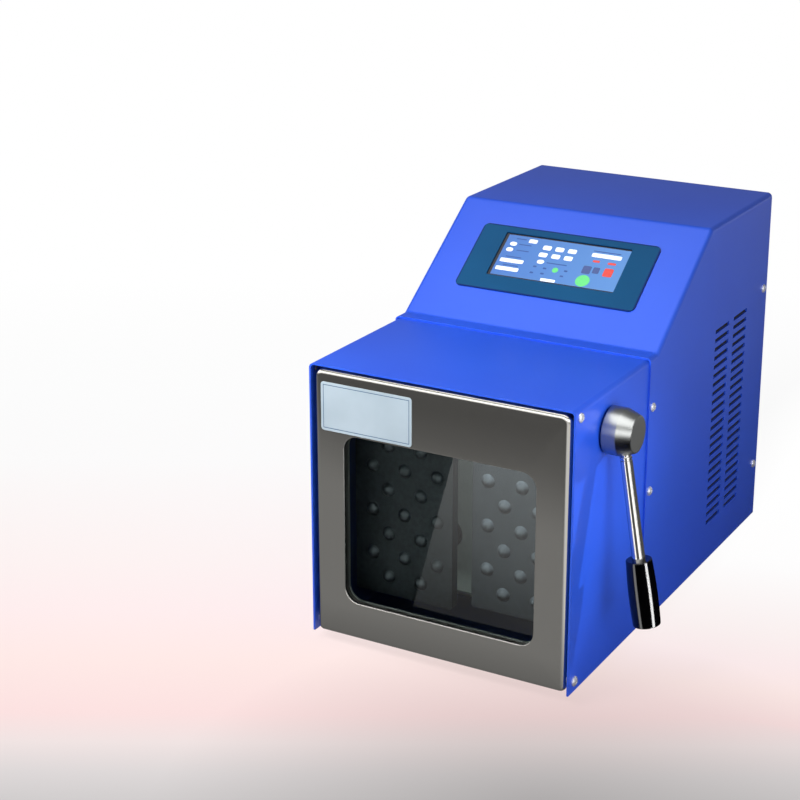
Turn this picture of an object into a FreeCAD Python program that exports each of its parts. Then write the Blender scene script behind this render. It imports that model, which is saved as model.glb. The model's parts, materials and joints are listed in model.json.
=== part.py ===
import FreeCAD, Part
import math
import os

# Bench paddle blender: a folded steel housing with a window door, a side latch
# lever and two paddles that a crank behind the chamber drives in turn.
# All sizes are in millimetres. While the pieces are made, x runs from the middle
# plane to the right, y from the front edge to the rear and z up from the underside.
# The last step moves the origin to the middle of the base, on the table.

Vector = FreeCAD.Vector
X_AXIS = Vector(1, 0, 0)
Y_AXIS = Vector(0, 1, 0)
Z_AXIS = Vector(0, 0, 1)
LEFT_AND_RIGHT = (-1, 1)

# Housing
housing_width = 220.0
housing_depth = 392.0
housing_height = 297.0
deck_height = 221.0
cover_start = 131.0
cover_lap = 14.0
slope_foot = 144.5
slope_top = 250.0
sheet = 1.5
shell_corner = 4.0
foot_bend = 5.0
top_bend = 8.0
base_sheet = 2.0
base_flange = 14.0
foot_height = 9.0
foot_radius = 12.0
foot_inset_x = 30.0
foot_inset_y = 34.0
foot_screw_radius = 2.5
foot_screw_head_radius = 4.5
foot_screw_head_height = 2.5
foot_taper = 1.5
foot_recess_radius = 5.5
foot_recess_depth = 5.0

# Louvres in both sides of the rear cover
louvre_columns = (268.8, 311.3)
louvre_length = 31.5
louvre_height = 3.4
louvre_pitch = 7.7
louvre_count = 23
louvre_bottom = 34.0
filter_margin = 7.0
filter_thickness = 3.0

# Case screws: distances from the edges that they stand near
corner_screw_inset = 7.6
corner_screw_drop = 6.4
lap_screw_inset = 6.0
lap_screw_drops = (39.0, 108.0)
rear_screw_inset = 10.0
rear_screw_drop = 83.0
rear_screw_rise = 51.0
case_screw_radius = 1.5
case_head_radius = 3.6
case_head_height = 2.6
head_rim_share = 0.35
cross_width = 0.9
cross_reach = 2.1
cross_depth = 1.2
nut_radius = 3.0
nut_length = 3.0

# Door and its hinge
door_gap_side = 2.0
door_gap_top = 1.2
door_bottom = 0.8
door_recess = 0.3
door_depth = 14.0
door_sheet = 1.2
door_corner = 8.0
door_foot_corner = 5.0
door_bend = 4.6
door_foot_flange = 7.7
hinge_setback = 9.4
hinge_height = 8.5
hinge_block_radius = 6.5
hinge_block_width = 5.0
hinge_pin_radius = 3.0
hinge_shoulder_radius = 4.0
hinge_head_radius = 4.0
running_gap = 0.05
stop_gap = 0.1
side_notch_height = 14.0

# Window
window_half_width = 80.5
window_bottom = 31.5
window_drop = 52.7
window_corner = 12.0
pane_overlap = 9.5
pane_thickness = 5.0
pane_corner = 6.0
gasket_thickness = 1.0
inner_frame_sheet = 2.0
inner_frame_bottom = 16.0
inner_frame_gap = 0.4
post_radius = 3.5
post_offset_x = 94.6
post_rows = 4
post_end_gap = 1.0
top_posts = (-45.0, 0.0, 45.0)
top_post_drop = 17.3
post_screw_radius = 1.25
post_screw_head_radius = 2.6
post_screw_head_height = 1.8
post_screw_depth = 4.5

# Notice plate on the door
plate_left = -99.8
plate_right = -21.6
plate_drop = 10.3
plate_height = 38.4
plate_corner = 2.5
plate_thickness = 0.4

# Chamber
chamber_half_width = 98.0
chamber_drop = 45.0
liner_sheet = 1.2
liner_corner = 4.0
sill_height = 22.0
frame_sheet = 1.5
chamber_back_y = 105.0
back_sheet = 1.2
back_curl = 13.0
back_curl_height = 14.5
bulkhead_sheet = 4.0
bulkhead_flange = 36.0
bulkhead_flange_sheet = 3.0
seal_width = 5.0
seal_gap = 0.3

# Latch: shaft, hooks, door ears and their pins
latch_y = 57.0
latch_drop = 31.0
latch_shaft_radius = 6.0
hook_x = 83.0
hook_width = 6.0
hook_hub_radius = 11.0
striker_reach = 18.0
striker_radius = 3.0
striker_gap = 0.3
hook_claw = 6.2
hook_above = 34.0
hook_below = 15.0
ear_side_gap = 1.5
ear_sheet = 3.0
ear_half_height = 6.0
ear_rear_margin = 4.5
ear_foot = 9.0
ear_slot_margin = 1.6
bush_body_radius = 8.0
bush_flange_radius = 11.0
bush_flange = 2.0

# Lever: hub, rod and grip
hub_gap = 0.6
hub_radius = 18.0
hub_end_radius = 14.0
hub_straight = 11.5
hub_length = 22.3
hub_bevel = 0.7
lever_tilt = 9.6
rod_axis_offset = 10.1
rod_radius_top = 4.5
rod_radius_low = 5.0
rod_groove_radius = 3.6
rod_groove_width = 1.6
rod_entry = 11.0
rod_groove_reach = 18.3
grip_reach = 98.0
grip_length = 51.4
grip_top_radius = 9.7
grip_belly_radius = 10.9
grip_end_radius = 10.4
grip_bevel = 0.6
grip_cover = 30.0

# Paddles
paddle_inner_x = 4.7
paddle_outer_x = 90.0
paddle_bottom = 27.8
paddle_top_gap = 7.6
paddle_thickness = 8.4
paddle_corner = 2.5
paddle_face_front = 33.0
bump_radius = 5.5
bump_height = 4.3
bump_pitch_x = 14.2
bump_pitch_z = 36.3
bump_first_x = 13.3
bump_first_z = 15.9
bump_column_count = 5
paddle_boss_radius = 13.0
paddle_boss_length = 9.0
push_rod_radius = 6.0
push_rod_spread = 42.0

# Rod guides
guide_length = 34.0
guide_flange = 6.0
guide_flange_radius = 19.0
guide_tube_radius = 12.0
guide_bush_radius = 8.0
guide_bush_flange = 2.0
guide_bush_flange_radius = 10.0
rod_seal_radius = 11.0
rod_seal_lip = 1.5
rod_seal_lip_radius = 13.0

# Crank: opposed eccentrics run in the slots of the two yokes
crank_y = 194.0
crank_throw = 7.0
crank_radius = 7.5
crank_middle_radius = 10.0
crank_middle_half = 30.0
eccentric_radius = 17.5
eccentric_width = 22.0
eccentric_collar_radius = 13.0
eccentric_collar = 5.0
bearing_width = 12.0
bearing_radius = 23.5
bearing_inner_wall = 2.2
bearing_outer_wall = 2.0
yoke_width = 14.0
yoke_slot_gap = 1.6
yoke_slot_end_gap = 1.0
yoke_slot_corner = 6.0
yoke_side = 10.0
yoke_end = 22.0
yoke_corner = 8.0
yoke_socket = 12.0
pedestal_x = 72.0
pedestal_width = 12.0
pedestal_head_radius = 26.0
pedestal_foot = 80.0
pedestal_foot_width = 28.0
pedestal_foot_height = 7.0
pedestal_screw_inset = 8.0
pedestal_window_radius = 14.0
main_bearing_radius = 17.5
main_bearing_width = 11.0
main_bearing_race = 13.5
main_bearing_inner = 11.0
main_bearing_shield = 1.0
pedestal_screw_radius = 2.5
pedestal_screw_head = 4.2
pedestal_screw_head_height = 4.0

# Belt drive and motor
belt_x = 95.0
belt_top_width = 9.0
belt_bottom_width = 5.4
belt_depth = 5.0
belt_gap = 0.1
pulley_width = 16.0
crank_pulley_radius = 42.0
motor_pulley_radius = 14.0
pulley_hub_radius = 13.0
pulley_hub_start = 81.0
pulley_web_radius = 32.0
pulley_web_recess = 4.0
pulley_hole_radius = 5.5
pulley_hole_circle = 22.5
pulley_hole_count = 5
motor_y = 300.0
motor_z = 70.0
motor_radius = 40.0
motor_rear_x = -50.0
motor_front_x = 76.0
motor_bell = 12.0
motor_bell_step = 1.5
motor_shaft_radius = 4.0
motor_boss_radius = 11.0
motor_boss_length = 3.0
bracket_sheet = 4.0
bracket_margin = 5.0
bracket_foot = 22.0
shaft_end_x = 105.0

# Display on the slope: distances along the slope start at its foot
fascia_half_width = 79.0
fascia_low = 34.6
fascia_high = 102.7
fascia_thickness = 1.0
fascia_corner = 5.0
fascia_shift = -1.2
screen_half_width = 56.2
screen_low = 49.8
screen_high = 96.0
screen_corner = 1.0
screen_recess = 0.9
screen_thickness = 1.0
display_margin = 6.0
display_depth = 9.0
display_corner = 2.0
seat_margin = 1.5
seat_gap = 0.4
board_gap = 6.0
board_thickness = 1.6
board_margin = 2.0
standoff_radius = 2.5
standoff_inset = 5.0

# Rear panel and what it carries
rear_flange = 15.0
fan_x = 40.0
fan_drop = 75.0
fan_half = 30.0
fan_depth = 20.0
fan_bore_radius = 28.0
fan_hub_radius = 12.0
fan_hub_depth = 16.0
fan_tip_gap = 1.0
fan_blade_count = 7
fan_blade_thickness = 1.4
fan_blade_pitch = 38.0
fan_spider_width = 5.0
fan_spider_depth = 2.5
fan_screw_inset = 5.0
fan_pin_radius = 2.0
guard_ring_gap = 3.2
guard_ring_bar = 2.8
guard_spoke = 3.0
guard_rings = 4
inlet_x = -60.0
inlet_z = 48.0
inlet_half_width = 12.0
inlet_half_height = 8.2
inlet_wall = 2.0
inlet_depth = 22.0
inlet_cavity = 17.0
inlet_chamfer = 4.0
inlet_flange_half_width = 25.0
inlet_flange_half_height = 11.2
inlet_flange = 2.5
inlet_pin_pitch = 7.0
inlet_pin_drop = 4.0
inlet_pin_half_width = 1.0
inlet_pin_half_height = 2.0
inlet_pin_end_gap = 3.0
switch_x = -60.0
switch_z = 84.0
switch_half_width = 10.5
switch_half_height = 7.5
switch_rim = 2.0
switch_depth = 18.0
rocker_gap = 0.3
rocker_half_length = 7.0
rocker_radius = 9.0
rocker_setback = 4.5
rocker_tilt = 12.0
rocker_hub_radius = 2.6
rocker_pin_radius = 1.2
rocker_dish_radius = 14.0
rocker_dish_height = 5.2
fuse_x = -22.0
fuse_z = 48.0
fuse_body_radius = 6.0
fuse_cap_radius = 7.5
fuse_cap_height = 4.0
fuse_slot_width = 1.6
fuse_slot_depth = 1.4
fuse_depth = 26.0

# Power supply
supply_x = -80.0
supply_width = 40.0
supply_gap = 18.5
supply_length = 98.0
supply_height = 96.0
supply_lid = 1.5
terminal_height = 12.0
terminal_length = 16.0

# Values worked out from those above
latch_z = deck_height - latch_drop
chamber_ceiling = deck_height - chamber_drop
paddle_top = chamber_ceiling - paddle_top_gap
window_top = deck_height - window_drop
half_width = housing_width / 2
shell_inner = half_width - sheet
cover_half_width = half_width + sheet
cover_deck = deck_height + sheet
slope_rise = housing_height - cover_deck
slope_run = slope_top - slope_foot
slope_angle = math.degrees(math.atan2(slope_rise, slope_run))
rear_inner = housing_depth - sheet
door_half_width = shell_inner - door_gap_side
door_top = deck_height - sheet - door_gap_top
top_post_height = door_top - top_post_drop
plate_top = door_top - plate_drop
door_inner_face = door_recess + door_sheet
door_back = door_recess + door_depth
gasket_back = door_inner_face + gasket_thickness
pane_back = gasket_back + pane_thickness
inner_frame_back = pane_back + inner_frame_sheet
chamber_front = hinge_setback + hinge_height - door_bottom + stop_gap
supply_start = rear_inner - inlet_depth - supply_gap - supply_length
fan_z = housing_height - fan_drop
liner_outer = chamber_half_width + liner_sheet
liner_top = chamber_ceiling + liner_sheet
liner_floor = base_sheet + liner_sheet
bulkhead_front = chamber_back_y + back_sheet
bulkhead_back = bulkhead_front + bulkhead_sheet
guide_back = bulkhead_back + guide_length
striker_y = latch_y - striker_reach
ear_bottom = latch_z - ear_half_height
ear_top = latch_z + ear_half_height
ear_inner_x = hook_x + hook_width + ear_side_gap
ear_outer_x = ear_inner_x + ear_sheet
hook_outer_radius = striker_reach + striker_radius + striker_gap + hook_claw
paddle_middle_x = (paddle_inner_x + paddle_outer_x) / 2
crank_z = (paddle_bottom + paddle_top) / 2
paddle_stroke = 2 * crank_throw
yoke_slot_half_y = bearing_radius + yoke_slot_gap
yoke_slot_half_z = bearing_radius + crank_throw + yoke_slot_end_gap
yoke_half_y = yoke_slot_half_y + yoke_side
yoke_half_z = yoke_slot_half_z + yoke_end


corner_screw = (corner_screw_inset, deck_height - corner_screw_drop)
lap_screws = [(cover_start + lap_screw_inset, deck_height - drop) for drop in lap_screw_drops]
rear_screws = [
    (housing_depth - rear_screw_inset, height)
    for height in (housing_height - rear_screw_drop, rear_screw_rise)
]


def box(x, y, z):
    """A block between the low and high ends of each pair."""
    size = (x[1] - x[0], y[1] - y[0], z[1] - z[0])
    return Part.makeBox(*size, Vector(x[0], y[0], z[0]))


def pair(middle, half):
    return (middle - half, middle + half)


def round_bar(radius, start, end):
    along = end - start
    return Part.makeCylinder(radius, along.Length, start, along)


def bar_x(radius, x, y, z):
    return round_bar(radius, Vector(x[0], y, z), Vector(x[1], y, z))


def bar_y(radius, y, x, z):
    return round_bar(radius, Vector(x, y[0], z), Vector(x, y[1], z))


def bar_z(radius, z, x, y):
    return round_bar(radius, Vector(x, y, z[0]), Vector(x, y, z[1]))


def tube_x(outer, inner, x, y, z):
    return bar_x(outer, x, y, z).cut(bar_x(inner, x, y, z))


def outline(points, radii):
    """A closed wire through the points, with an arc of each radius at its corner."""
    edges = []
    entries = []
    exits = []
    middles = []
    count = len(points)
    for index, corner in enumerate(points):
        radius = radii[index]
        if radius <= 0:
            entries.append(corner)
            exits.append(corner)
            middles.append(None)
            continue
        before = (points[index - 1] - corner).normalize()
        after = (points[(index + 1) % count] - corner).normalize()
        half_angle = before.getAngle(after) / 2
        reach = radius / math.tan(half_angle)
        towards_centre = (before + after).normalize()
        centre = corner + towards_centre * (radius / math.sin(half_angle))
        entries.append(corner + before * reach)
        exits.append(corner + after * reach)
        middles.append(centre - towards_centre * radius)
    for index in range(count):
        following = (index + 1) % count
        if middles[index]:
            arc = Part.Arc(entries[index], middles[index], exits[index])
            edges.append(arc.toShape())
        if exits[index].distanceToPoint(entries[following]) > 1e-6:
            edges.append(Part.makeLine(exits[index], entries[following]))
    return Part.Wire(edges)


def rectangle_xz(x, z, y, low_radius, top_radius):
    """A rounded rectangle facing the front, at one distance from the front edge."""
    points = [
        Vector(x[0], y, z[0]),
        Vector(x[1], y, z[0]),
        Vector(x[1], y, z[1]),
        Vector(x[0], y, z[1]),
    ]
    return outline(points, [low_radius, low_radius, top_radius, top_radius])


def slab_xz(x, z, y, low_radius=0.0, top_radius=None):
    top = low_radius if top_radius is None else top_radius
    face = Part.Face(rectangle_xz(x, z, y[0], low_radius, top))
    return face.extrude(Vector(0, y[1] - y[0], 0))


def slab_yz(points, radii, x):
    """A slab with its outline seen from the side: points are (y, z) pairs."""
    corners = [Vector(x[0], y, z) for y, z in points]
    face = Part.Face(outline(corners, radii))
    return face.extrude(Vector(x[1] - x[0], 0, 0))


def plain_slab_yz(points, x):
    return slab_yz(points, [0.0] * len(points), x)


def turned(profile, start, axis):
    """A turned piece: the profile is (distance along the axis, radius) pairs."""
    points = [Vector(radius, 0, along) for along, radius in profile]
    points.append(points[0])
    solid = Part.Face(Part.makePolygon(points)).revolve(Vector(), Z_AXIS, 360)
    turn = FreeCAD.Rotation(Z_AXIS, axis)
    solid.Placement = FreeCAD.Placement(start, turn)
    return solid


def joined(shapes):
    whole = shapes[0].fuse(shapes[1:]) if len(shapes) > 1 else shapes[0]
    return whole.removeSplitter()


def group(shapes):
    return Part.makeCompound(shapes)


def rounded(shape, radius, wanted):
    """Rounds the edges for which wanted gives true."""
    edges = [edge for edge in shape.Edges if wanted(edge)]
    return shape.makeFillet(radius, edges)


def on_slope(shape):
    """Moves a piece made flat, with y up the slope and z out of it, on to the slope."""
    turn = FreeCAD.Rotation(X_AXIS, slope_angle)
    shape.Placement = FreeCAD.Placement(Vector(0, slope_foot, cover_deck), turn)
    return shape


def slope_slab(half_width_x, along, out, radius=0.0):
    points = [
        Vector(fascia_shift - half_width_x, along[0], out[0]),
        Vector(fascia_shift + half_width_x, along[0], out[0]),
        Vector(fascia_shift + half_width_x, along[1], out[0]),
        Vector(fascia_shift - half_width_x, along[1], out[0]),
    ]
    face = Part.Face(outline(points, [radius] * 4))
    return face.extrude(Vector(0, 0, out[1] - out[0]))


def both_sides(make):
    return [make(side) for side in LEFT_AND_RIGHT]


def side_pair(side, inner, outer):
    """The low and high x of something between two distances from the middle."""
    return (inner, outer) if side > 0 else (-outer, -inner)


def rod_places(side):
    return [
        (side * paddle_middle_x, crank_z + step * push_rod_spread)
        for step in LEFT_AND_RIGHT
    ]


def all_rod_places():
    return rod_places(-1) + rod_places(1)


# Housing pieces


def make_base_plate():
    floor = box(pair(0, shell_inner), (chamber_front, rear_inner), (0, base_sheet))
    flange_start = bulkhead_back + bulkhead_flange
    flanges = both_sides(
        lambda side: box(
            side_pair(side, shell_inner - base_sheet, shell_inner),
            (flange_start, rear_inner),
            (0, base_flange),
        )
    )
    holes = [
        bar_z(foot_screw_radius, (-1, base_sheet + 1), x, y) for x, y in foot_places()
    ]
    return joined([floor] + flanges).cut(holes)


def foot_places():
    x = half_width - foot_inset_x
    return [
        (side * x, y)
        for side in LEFT_AND_RIGHT
        for y in (foot_inset_y, housing_depth - foot_inset_y)
    ]


def make_front_shell():
    length = cover_start + cover_lap
    outer = slab_xz(
        pair(0, half_width), (0, deck_height), (0, length), 0.0, shell_corner
    )
    inner = slab_xz(
        pair(0, shell_inner),
        (-1, deck_height - sheet),
        (-1, length + 1),
        0.0,
        shell_corner - sheet,
    )
    across = pair(0, half_width + 1)
    holes = [
        bar_x(case_screw_radius, across, y, z) for y, z in [corner_screw] + lap_screws
    ]
    holes.append(bar_x(hinge_pin_radius, across, hinge_setback, hinge_height))
    holes.append(bar_x(bush_body_radius, across, latch_y, latch_z))
    return outer.cut(inner).cut(holes)


def cover_profile(inset, front, rear, low):
    """The cover seen from the side, moved inwards by the sheet thickness if asked."""
    shift = inset * math.tan(math.radians(slope_angle / 2))
    points = [
        (front, low),
        (rear, low),
        (rear, housing_height - inset),
        (slope_top + shift, housing_height - inset),
        (slope_foot + shift, cover_deck - inset),
        (front, cover_deck - inset),
    ]
    radii = [0.0, 0.0, 0.0, top_bend - inset, foot_bend + inset, 0.0]
    return points, radii


def on_upper_edge(edge, half, low, front, rear):
    """True for the edges that run along the cover's upper outline on one side."""
    bounds = edge.BoundBox
    along_side = bounds.XLength < 0.01 and abs(abs(bounds.Center.x) - half) < 0.01
    if bounds.YLength < 0.01 or bounds.ZMin < low:
        return False
    return along_side and bounds.YMin > front - 0.01 and bounds.YMax < rear + 0.01


def make_rear_cover():
    points, radii = cover_profile(0.0, cover_start, housing_depth, 0.0)
    outer = slab_yz(points, radii, pair(0, cover_half_width))
    outer = rounded(
        outer,
        shell_corner,
        lambda edge: on_upper_edge(
            edge, cover_half_width, cover_deck - 1, cover_start, housing_depth
        ),
    )
    front = cover_start - 1
    rear = housing_depth + 1
    points, radii = cover_profile(sheet, front, rear, -1.0)
    inner = slab_yz(points, radii, pair(0, half_width))
    inner = rounded(
        inner,
        shell_corner - sheet,
        lambda edge: on_upper_edge(
            edge, half_width, deck_height - 1, front, rear
        ),
    )
    across = pair(0, cover_half_width + 1)
    slots = [
        box(
            across,
            (start, start + louvre_length),
            pair(louvre_bottom + row * louvre_pitch + louvre_height / 2, louvre_height / 2),
        )
        for start in louvre_columns
        for row in range(louvre_count)
    ]
    holes = [
        bar_x(case_screw_radius, across, y, z) for y, z in lap_screws + rear_screws
    ]
    seat = on_slope(
        slope_slab(
            screen_half_width + seat_margin + seat_gap,
            (
                screen_low - seat_margin - seat_gap,
                screen_high + seat_margin + seat_gap,
            ),
            (-sheet - 1, 1),
            screen_corner,
        )
    )
    return outer.cut(inner).cut(slots + holes + [seat])


def make_rear_panel():
    """Flat panel with a screw strip spot-welded along each side."""
    top = housing_height - sheet
    panel = slab_xz(
        pair(0, half_width),
        (0, top),
        (rear_inner, housing_depth),
        0.0,
        shell_corner - sheet,
    )
    flanges = both_sides(
        lambda side: box(
            side_pair(side, shell_inner, half_width),
            (rear_inner - rear_flange, rear_inner),
            (base_flange, top - shell_corner),
        )
    )
    through = (rear_inner - 1, housing_depth + 1)
    across = pair(0, half_width + 1)
    screw_holes = [bar_x(case_screw_radius, across, y, z) for y, z in rear_screws]
    strips = [flange.cut(screw_holes) for flange in flanges]
    openings = [
        slab_xz(
            pair(inlet_x, inlet_half_width + inlet_wall),
            pair(inlet_z, inlet_half_height + inlet_wall),
            through,
        ),
        slab_xz(
            pair(switch_x, switch_half_width), pair(switch_z, switch_half_height), through
        ),
        bar_y(fuse_body_radius, through, fuse_x, fuse_z),
    ]
    for x, z in fan_corners():
        openings.append(bar_y(fan_pin_radius, through, x, z))
    return group([panel.cut(openings + guard_gaps(through))] + strips)


def guard_gaps(through):
    """The ring gaps of the fan guard, left whole where its spokes cross them."""
    spokes = [
        box(pair(fan_x, fan_half), through, pair(fan_z, guard_spoke / 2)),
        box(pair(fan_x, guard_spoke / 2), through, pair(fan_z, fan_half)),
    ]
    gaps = []
    for ring in range(guard_rings):
        outer = fan_bore_radius - ring * (guard_ring_gap + guard_ring_bar)
        gap = bar_y(outer, through, fan_x, fan_z)
        gap = gap.cut(bar_y(outer - guard_ring_gap, through, fan_x, fan_z))
        gaps.append(gap.cut(spokes))
    return gaps


def fan_corners():
    reach = fan_half - fan_screw_inset
    return [
        (fan_x + side * reach, fan_z + up * reach)
        for side in LEFT_AND_RIGHT
        for up in LEFT_AND_RIGHT
    ]


# Chamber pieces


def make_chamber_liner():
    span = (chamber_front, bulkhead_front)
    outer = slab_xz(pair(0, liner_outer), (base_sheet, liner_top), span, liner_corner)
    inner = slab_xz(
        pair(0, chamber_half_width),
        (liner_floor, chamber_ceiling),
        (chamber_front - 1, bulkhead_front + 1),
        liner_corner - liner_sheet,
    )
    sill = slab_xz(
        pair(0, liner_outer),
        (base_sheet, liner_top),
        (chamber_front, chamber_front + liner_sheet),
        liner_corner,
    )
    above = box(
        pair(0, liner_outer + 1),
        (chamber_front - 1, chamber_front + liner_sheet + 1),
        (sill_height, liner_top + 1),
    )
    return joined([outer.cut(inner), sill.cut(above)])


def make_front_frame():
    span = (chamber_front, chamber_front + frame_sheet)
    plate = slab_xz(
        pair(0, shell_inner),
        (base_sheet, deck_height - sheet),
        span,
        0.0,
        shell_corner - sheet,
    )
    cut_span = (chamber_front - 1, chamber_front + frame_sheet + 1)
    mouth = slab_xz(pair(0, liner_outer), (base_sheet, liner_top), cut_span, liner_corner)
    foot = box(pair(0, liner_outer), cut_span, (base_sheet - 1, base_sheet + liner_corner))
    slots = both_sides(
        lambda side: box(
            side_pair(side, hook_x - 1 - ear_slot_margin, ear_outer_x + ear_slot_margin),
            cut_span,
            (ear_bottom - ear_slot_margin, ear_top + 2 * ear_slot_margin),
        )
    )
    return plate.cut([mouth, foot] + slots)


def make_chamber_back():
    """Stainless back plate whose lower edge curls forward."""
    curl_middle_z = back_curl_height + back_curl
    curl_front = chamber_back_y - back_curl
    outer = back_curl + back_sheet
    slant = math.sqrt(0.5)
    face = Part.Face(
        Part.Wire(
            [
                Part.makeLine(
                    Vector(-chamber_half_width, chamber_back_y, chamber_ceiling),
                    Vector(-chamber_half_width, chamber_back_y, curl_middle_z),
                ),
                Part.Arc(
                    Vector(-chamber_half_width, chamber_back_y, curl_middle_z),
                    Vector(
                        -chamber_half_width,
                        curl_front + back_curl * slant,
                        curl_middle_z - back_curl * slant,
                    ),
                    Vector(-chamber_half_width, curl_front, back_curl_height),
                ).toShape(),
                Part.makeLine(
                    Vector(-chamber_half_width, curl_front, back_curl_height),
                    Vector(
                        -chamber_half_width, curl_front, back_curl_height - back_sheet
                    ),
                ),
                Part.Arc(
                    Vector(
                        -chamber_half_width, curl_front, back_curl_height - back_sheet
                    ),
                    Vector(
                        -chamber_half_width,
                        curl_front + outer * slant,
                        curl_middle_z - outer * slant,
                    ),
                    Vector(-chamber_half_width, bulkhead_front, curl_middle_z),
                ).toShape(),
                Part.makeLine(
                    Vector(-chamber_half_width, bulkhead_front, curl_middle_z),
                    Vector(-chamber_half_width, bulkhead_front, chamber_ceiling),
                ),
                Part.makeLine(
                    Vector(-chamber_half_width, bulkhead_front, chamber_ceiling),
                    Vector(-chamber_half_width, chamber_back_y, chamber_ceiling),
                ),
            ]
        )
    )
    plate = face.extrude(Vector(2 * chamber_half_width, 0, 0))
    corners = slab_xz(
        pair(0, chamber_half_width),
        (liner_floor, chamber_ceiling),
        (curl_front - 1, bulkhead_front + 1),
        liner_corner - liner_sheet,
    )
    span = (chamber_back_y - 1, bulkhead_front + 1)
    holes = [bar_y(rod_seal_radius, span, x, z) for x, z in all_rod_places()]
    return plate.common(corners).cut(holes)


def make_bulkhead():
    plate = slab_xz(
        pair(0, shell_inner),
        (base_sheet, deck_height - sheet),
        (bulkhead_front, bulkhead_back),
        0.0,
        shell_corner - sheet,
    )
    flanges = both_sides(
        lambda side: box(
            side_pair(side, shell_inner - bulkhead_flange_sheet, shell_inner),
            (bulkhead_back, bulkhead_back + bulkhead_flange),
            (base_sheet, deck_height - sheet - shell_corner),
        )
    )
    span = (bulkhead_front - 1, bulkhead_back + 1)
    across = pair(0, half_width)
    holes = [bar_y(rod_seal_radius, span, x, z) for x, z in all_rod_places()]
    holes += [bar_x(nut_radius, across, y, z) for y, z in lap_screws]
    return joined([plate] + flanges).cut(holes)


def make_rod_guides():
    """Flanged tubes behind the bulkhead that hold the rod bushes."""
    profile = [
        (0, guide_bush_radius),
        (0, guide_flange_radius),
        (guide_flange, guide_flange_radius),
        (guide_flange, guide_tube_radius),
        (guide_length, guide_tube_radius),
        (guide_length, guide_bush_radius),
    ]
    return group(
        [turned(profile, Vector(x, bulkhead_back, z), Y_AXIS) for x, z in all_rod_places()]
    )


def make_guide_bushes():
    bore = push_rod_radius + running_gap
    profile = [
        (0, bore),
        (0, guide_bush_radius),
        (guide_length, guide_bush_radius),
        (guide_length, guide_bush_flange_radius),
        (guide_length + guide_bush_flange, guide_bush_flange_radius),
        (guide_length + guide_bush_flange, bore),
    ]
    return group(
        [turned(profile, Vector(x, bulkhead_back, z), Y_AXIS) for x, z in all_rod_places()]
    )


def make_rod_seals():
    bore = push_rod_radius + running_gap
    length = rod_seal_lip + bulkhead_back - chamber_back_y
    profile = [
        (0, bore),
        (0, rod_seal_lip_radius - rod_seal_lip),
        (rod_seal_lip, rod_seal_lip_radius),
        (rod_seal_lip, rod_seal_radius),
        (length, rod_seal_radius),
        (length, bore),
    ]
    start = chamber_back_y - rod_seal_lip
    return group([turned(profile, Vector(x, start, z), Y_AXIS) for x, z in all_rod_places()])


def make_door_seal():
    """Closed rubber ring round the chamber mouth, against the door's inner frame."""
    span = (inner_frame_back + seal_gap, chamber_front)
    low = sill_height - seal_width
    inner_x = chamber_half_width + 1
    inner_top = liner_top + 0.3
    outer = slab_xz(
        pair(0, inner_x + seal_width), (low, inner_top + seal_width), span, liner_corner
    )
    hole = slab_xz(
        pair(0, inner_x),
        (sill_height, inner_top),
        (span[0] - 1, span[1] + 1),
        liner_corner,
    )
    return outer.cut(hole)


# Door pieces


def inside_of_door(back):
    """The room inside the folded pan, with its rounded bends, as far as back."""
    inner = slab_xz(
        pair(0, door_half_width - door_sheet),
        (door_bottom + door_sheet, door_top - door_sheet),
        (door_inner_face, back),
        door_foot_corner - door_sheet,
        door_corner - door_sheet,
    )
    return rounded(
        inner,
        door_bend - door_sheet,
        lambda edge: edge.BoundBox.YMax < door_inner_face + 0.01,
    )


def make_door_panel():
    """Folded stainless pan with a window, rounded bends and welded screw posts."""
    outer = slab_xz(
        pair(0, door_half_width),
        (door_bottom, door_top),
        (door_recess, door_back),
        door_foot_corner,
        door_corner,
    )
    outer = rounded(outer, door_bend, lambda edge: edge.BoundBox.YMax < door_recess + 0.01)
    window = slab_xz(
        pair(0, window_half_width),
        (window_bottom, window_top),
        (0, door_back),
        window_corner,
    )
    bend_end = door_recess + door_bend
    across = pair(0, door_half_width + 1)
    foot_cut = box(
        across,
        (door_recess + door_foot_flange, door_back + 1),
        (door_bottom - 1, door_bottom + door_sheet + 0.1),
    )
    side_cut = box(across, (bend_end, door_back + 1), (door_bottom - 1, side_notch_height))
    keep = box(
        pair(0, door_half_width - door_foot_corner),
        (bend_end - 1, door_back + 2),
        (door_bottom - 2, side_notch_height + 1),
    )
    posts = [
        bar_y(post_radius, (door_inner_face, pane_back), x, z) for x, z in post_places()
    ]
    shell = outer.cut(inside_of_door(door_back + 1))
    shell = shell.cut([window, foot_cut, side_cut.cut(keep)])
    holes = [
        bar_y(post_screw_radius, (pane_back - post_screw_depth, pane_back), x, z)
        for x, z in post_places()
    ]
    return joined([shell] + posts).cut(holes)


def post_places():
    low = window_bottom + post_end_gap
    step = (window_top + post_end_gap - low) / (post_rows - 1)
    sides = [
        (side * post_offset_x, low + row * step)
        for side in LEFT_AND_RIGHT
        for row in range(post_rows)
    ]
    return sides + [(x, top_post_height) for x in top_posts]


def make_hinge_blocks():
    """Welded blocks in the door's lower corners, round behind the hinge axis."""
    inside = inside_of_door(hinge_setback + hinge_block_radius + 1)
    outer_x = door_half_width - door_sheet
    low = hinge_height - hinge_block_radius
    high = hinge_height + hinge_block_radius

    def block(side):
        x = side_pair(side, outer_x - hinge_block_width, outer_x)
        body = box(x, (door_inner_face, hinge_setback), (low, high))
        end = bar_x(hinge_block_radius, x, hinge_setback, hinge_height)
        bore = bar_x(hinge_pin_radius + running_gap, x, hinge_setback, hinge_height)
        return joined([body, end]).common(inside).cut(bore)

    return group(both_sides(block))


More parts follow.
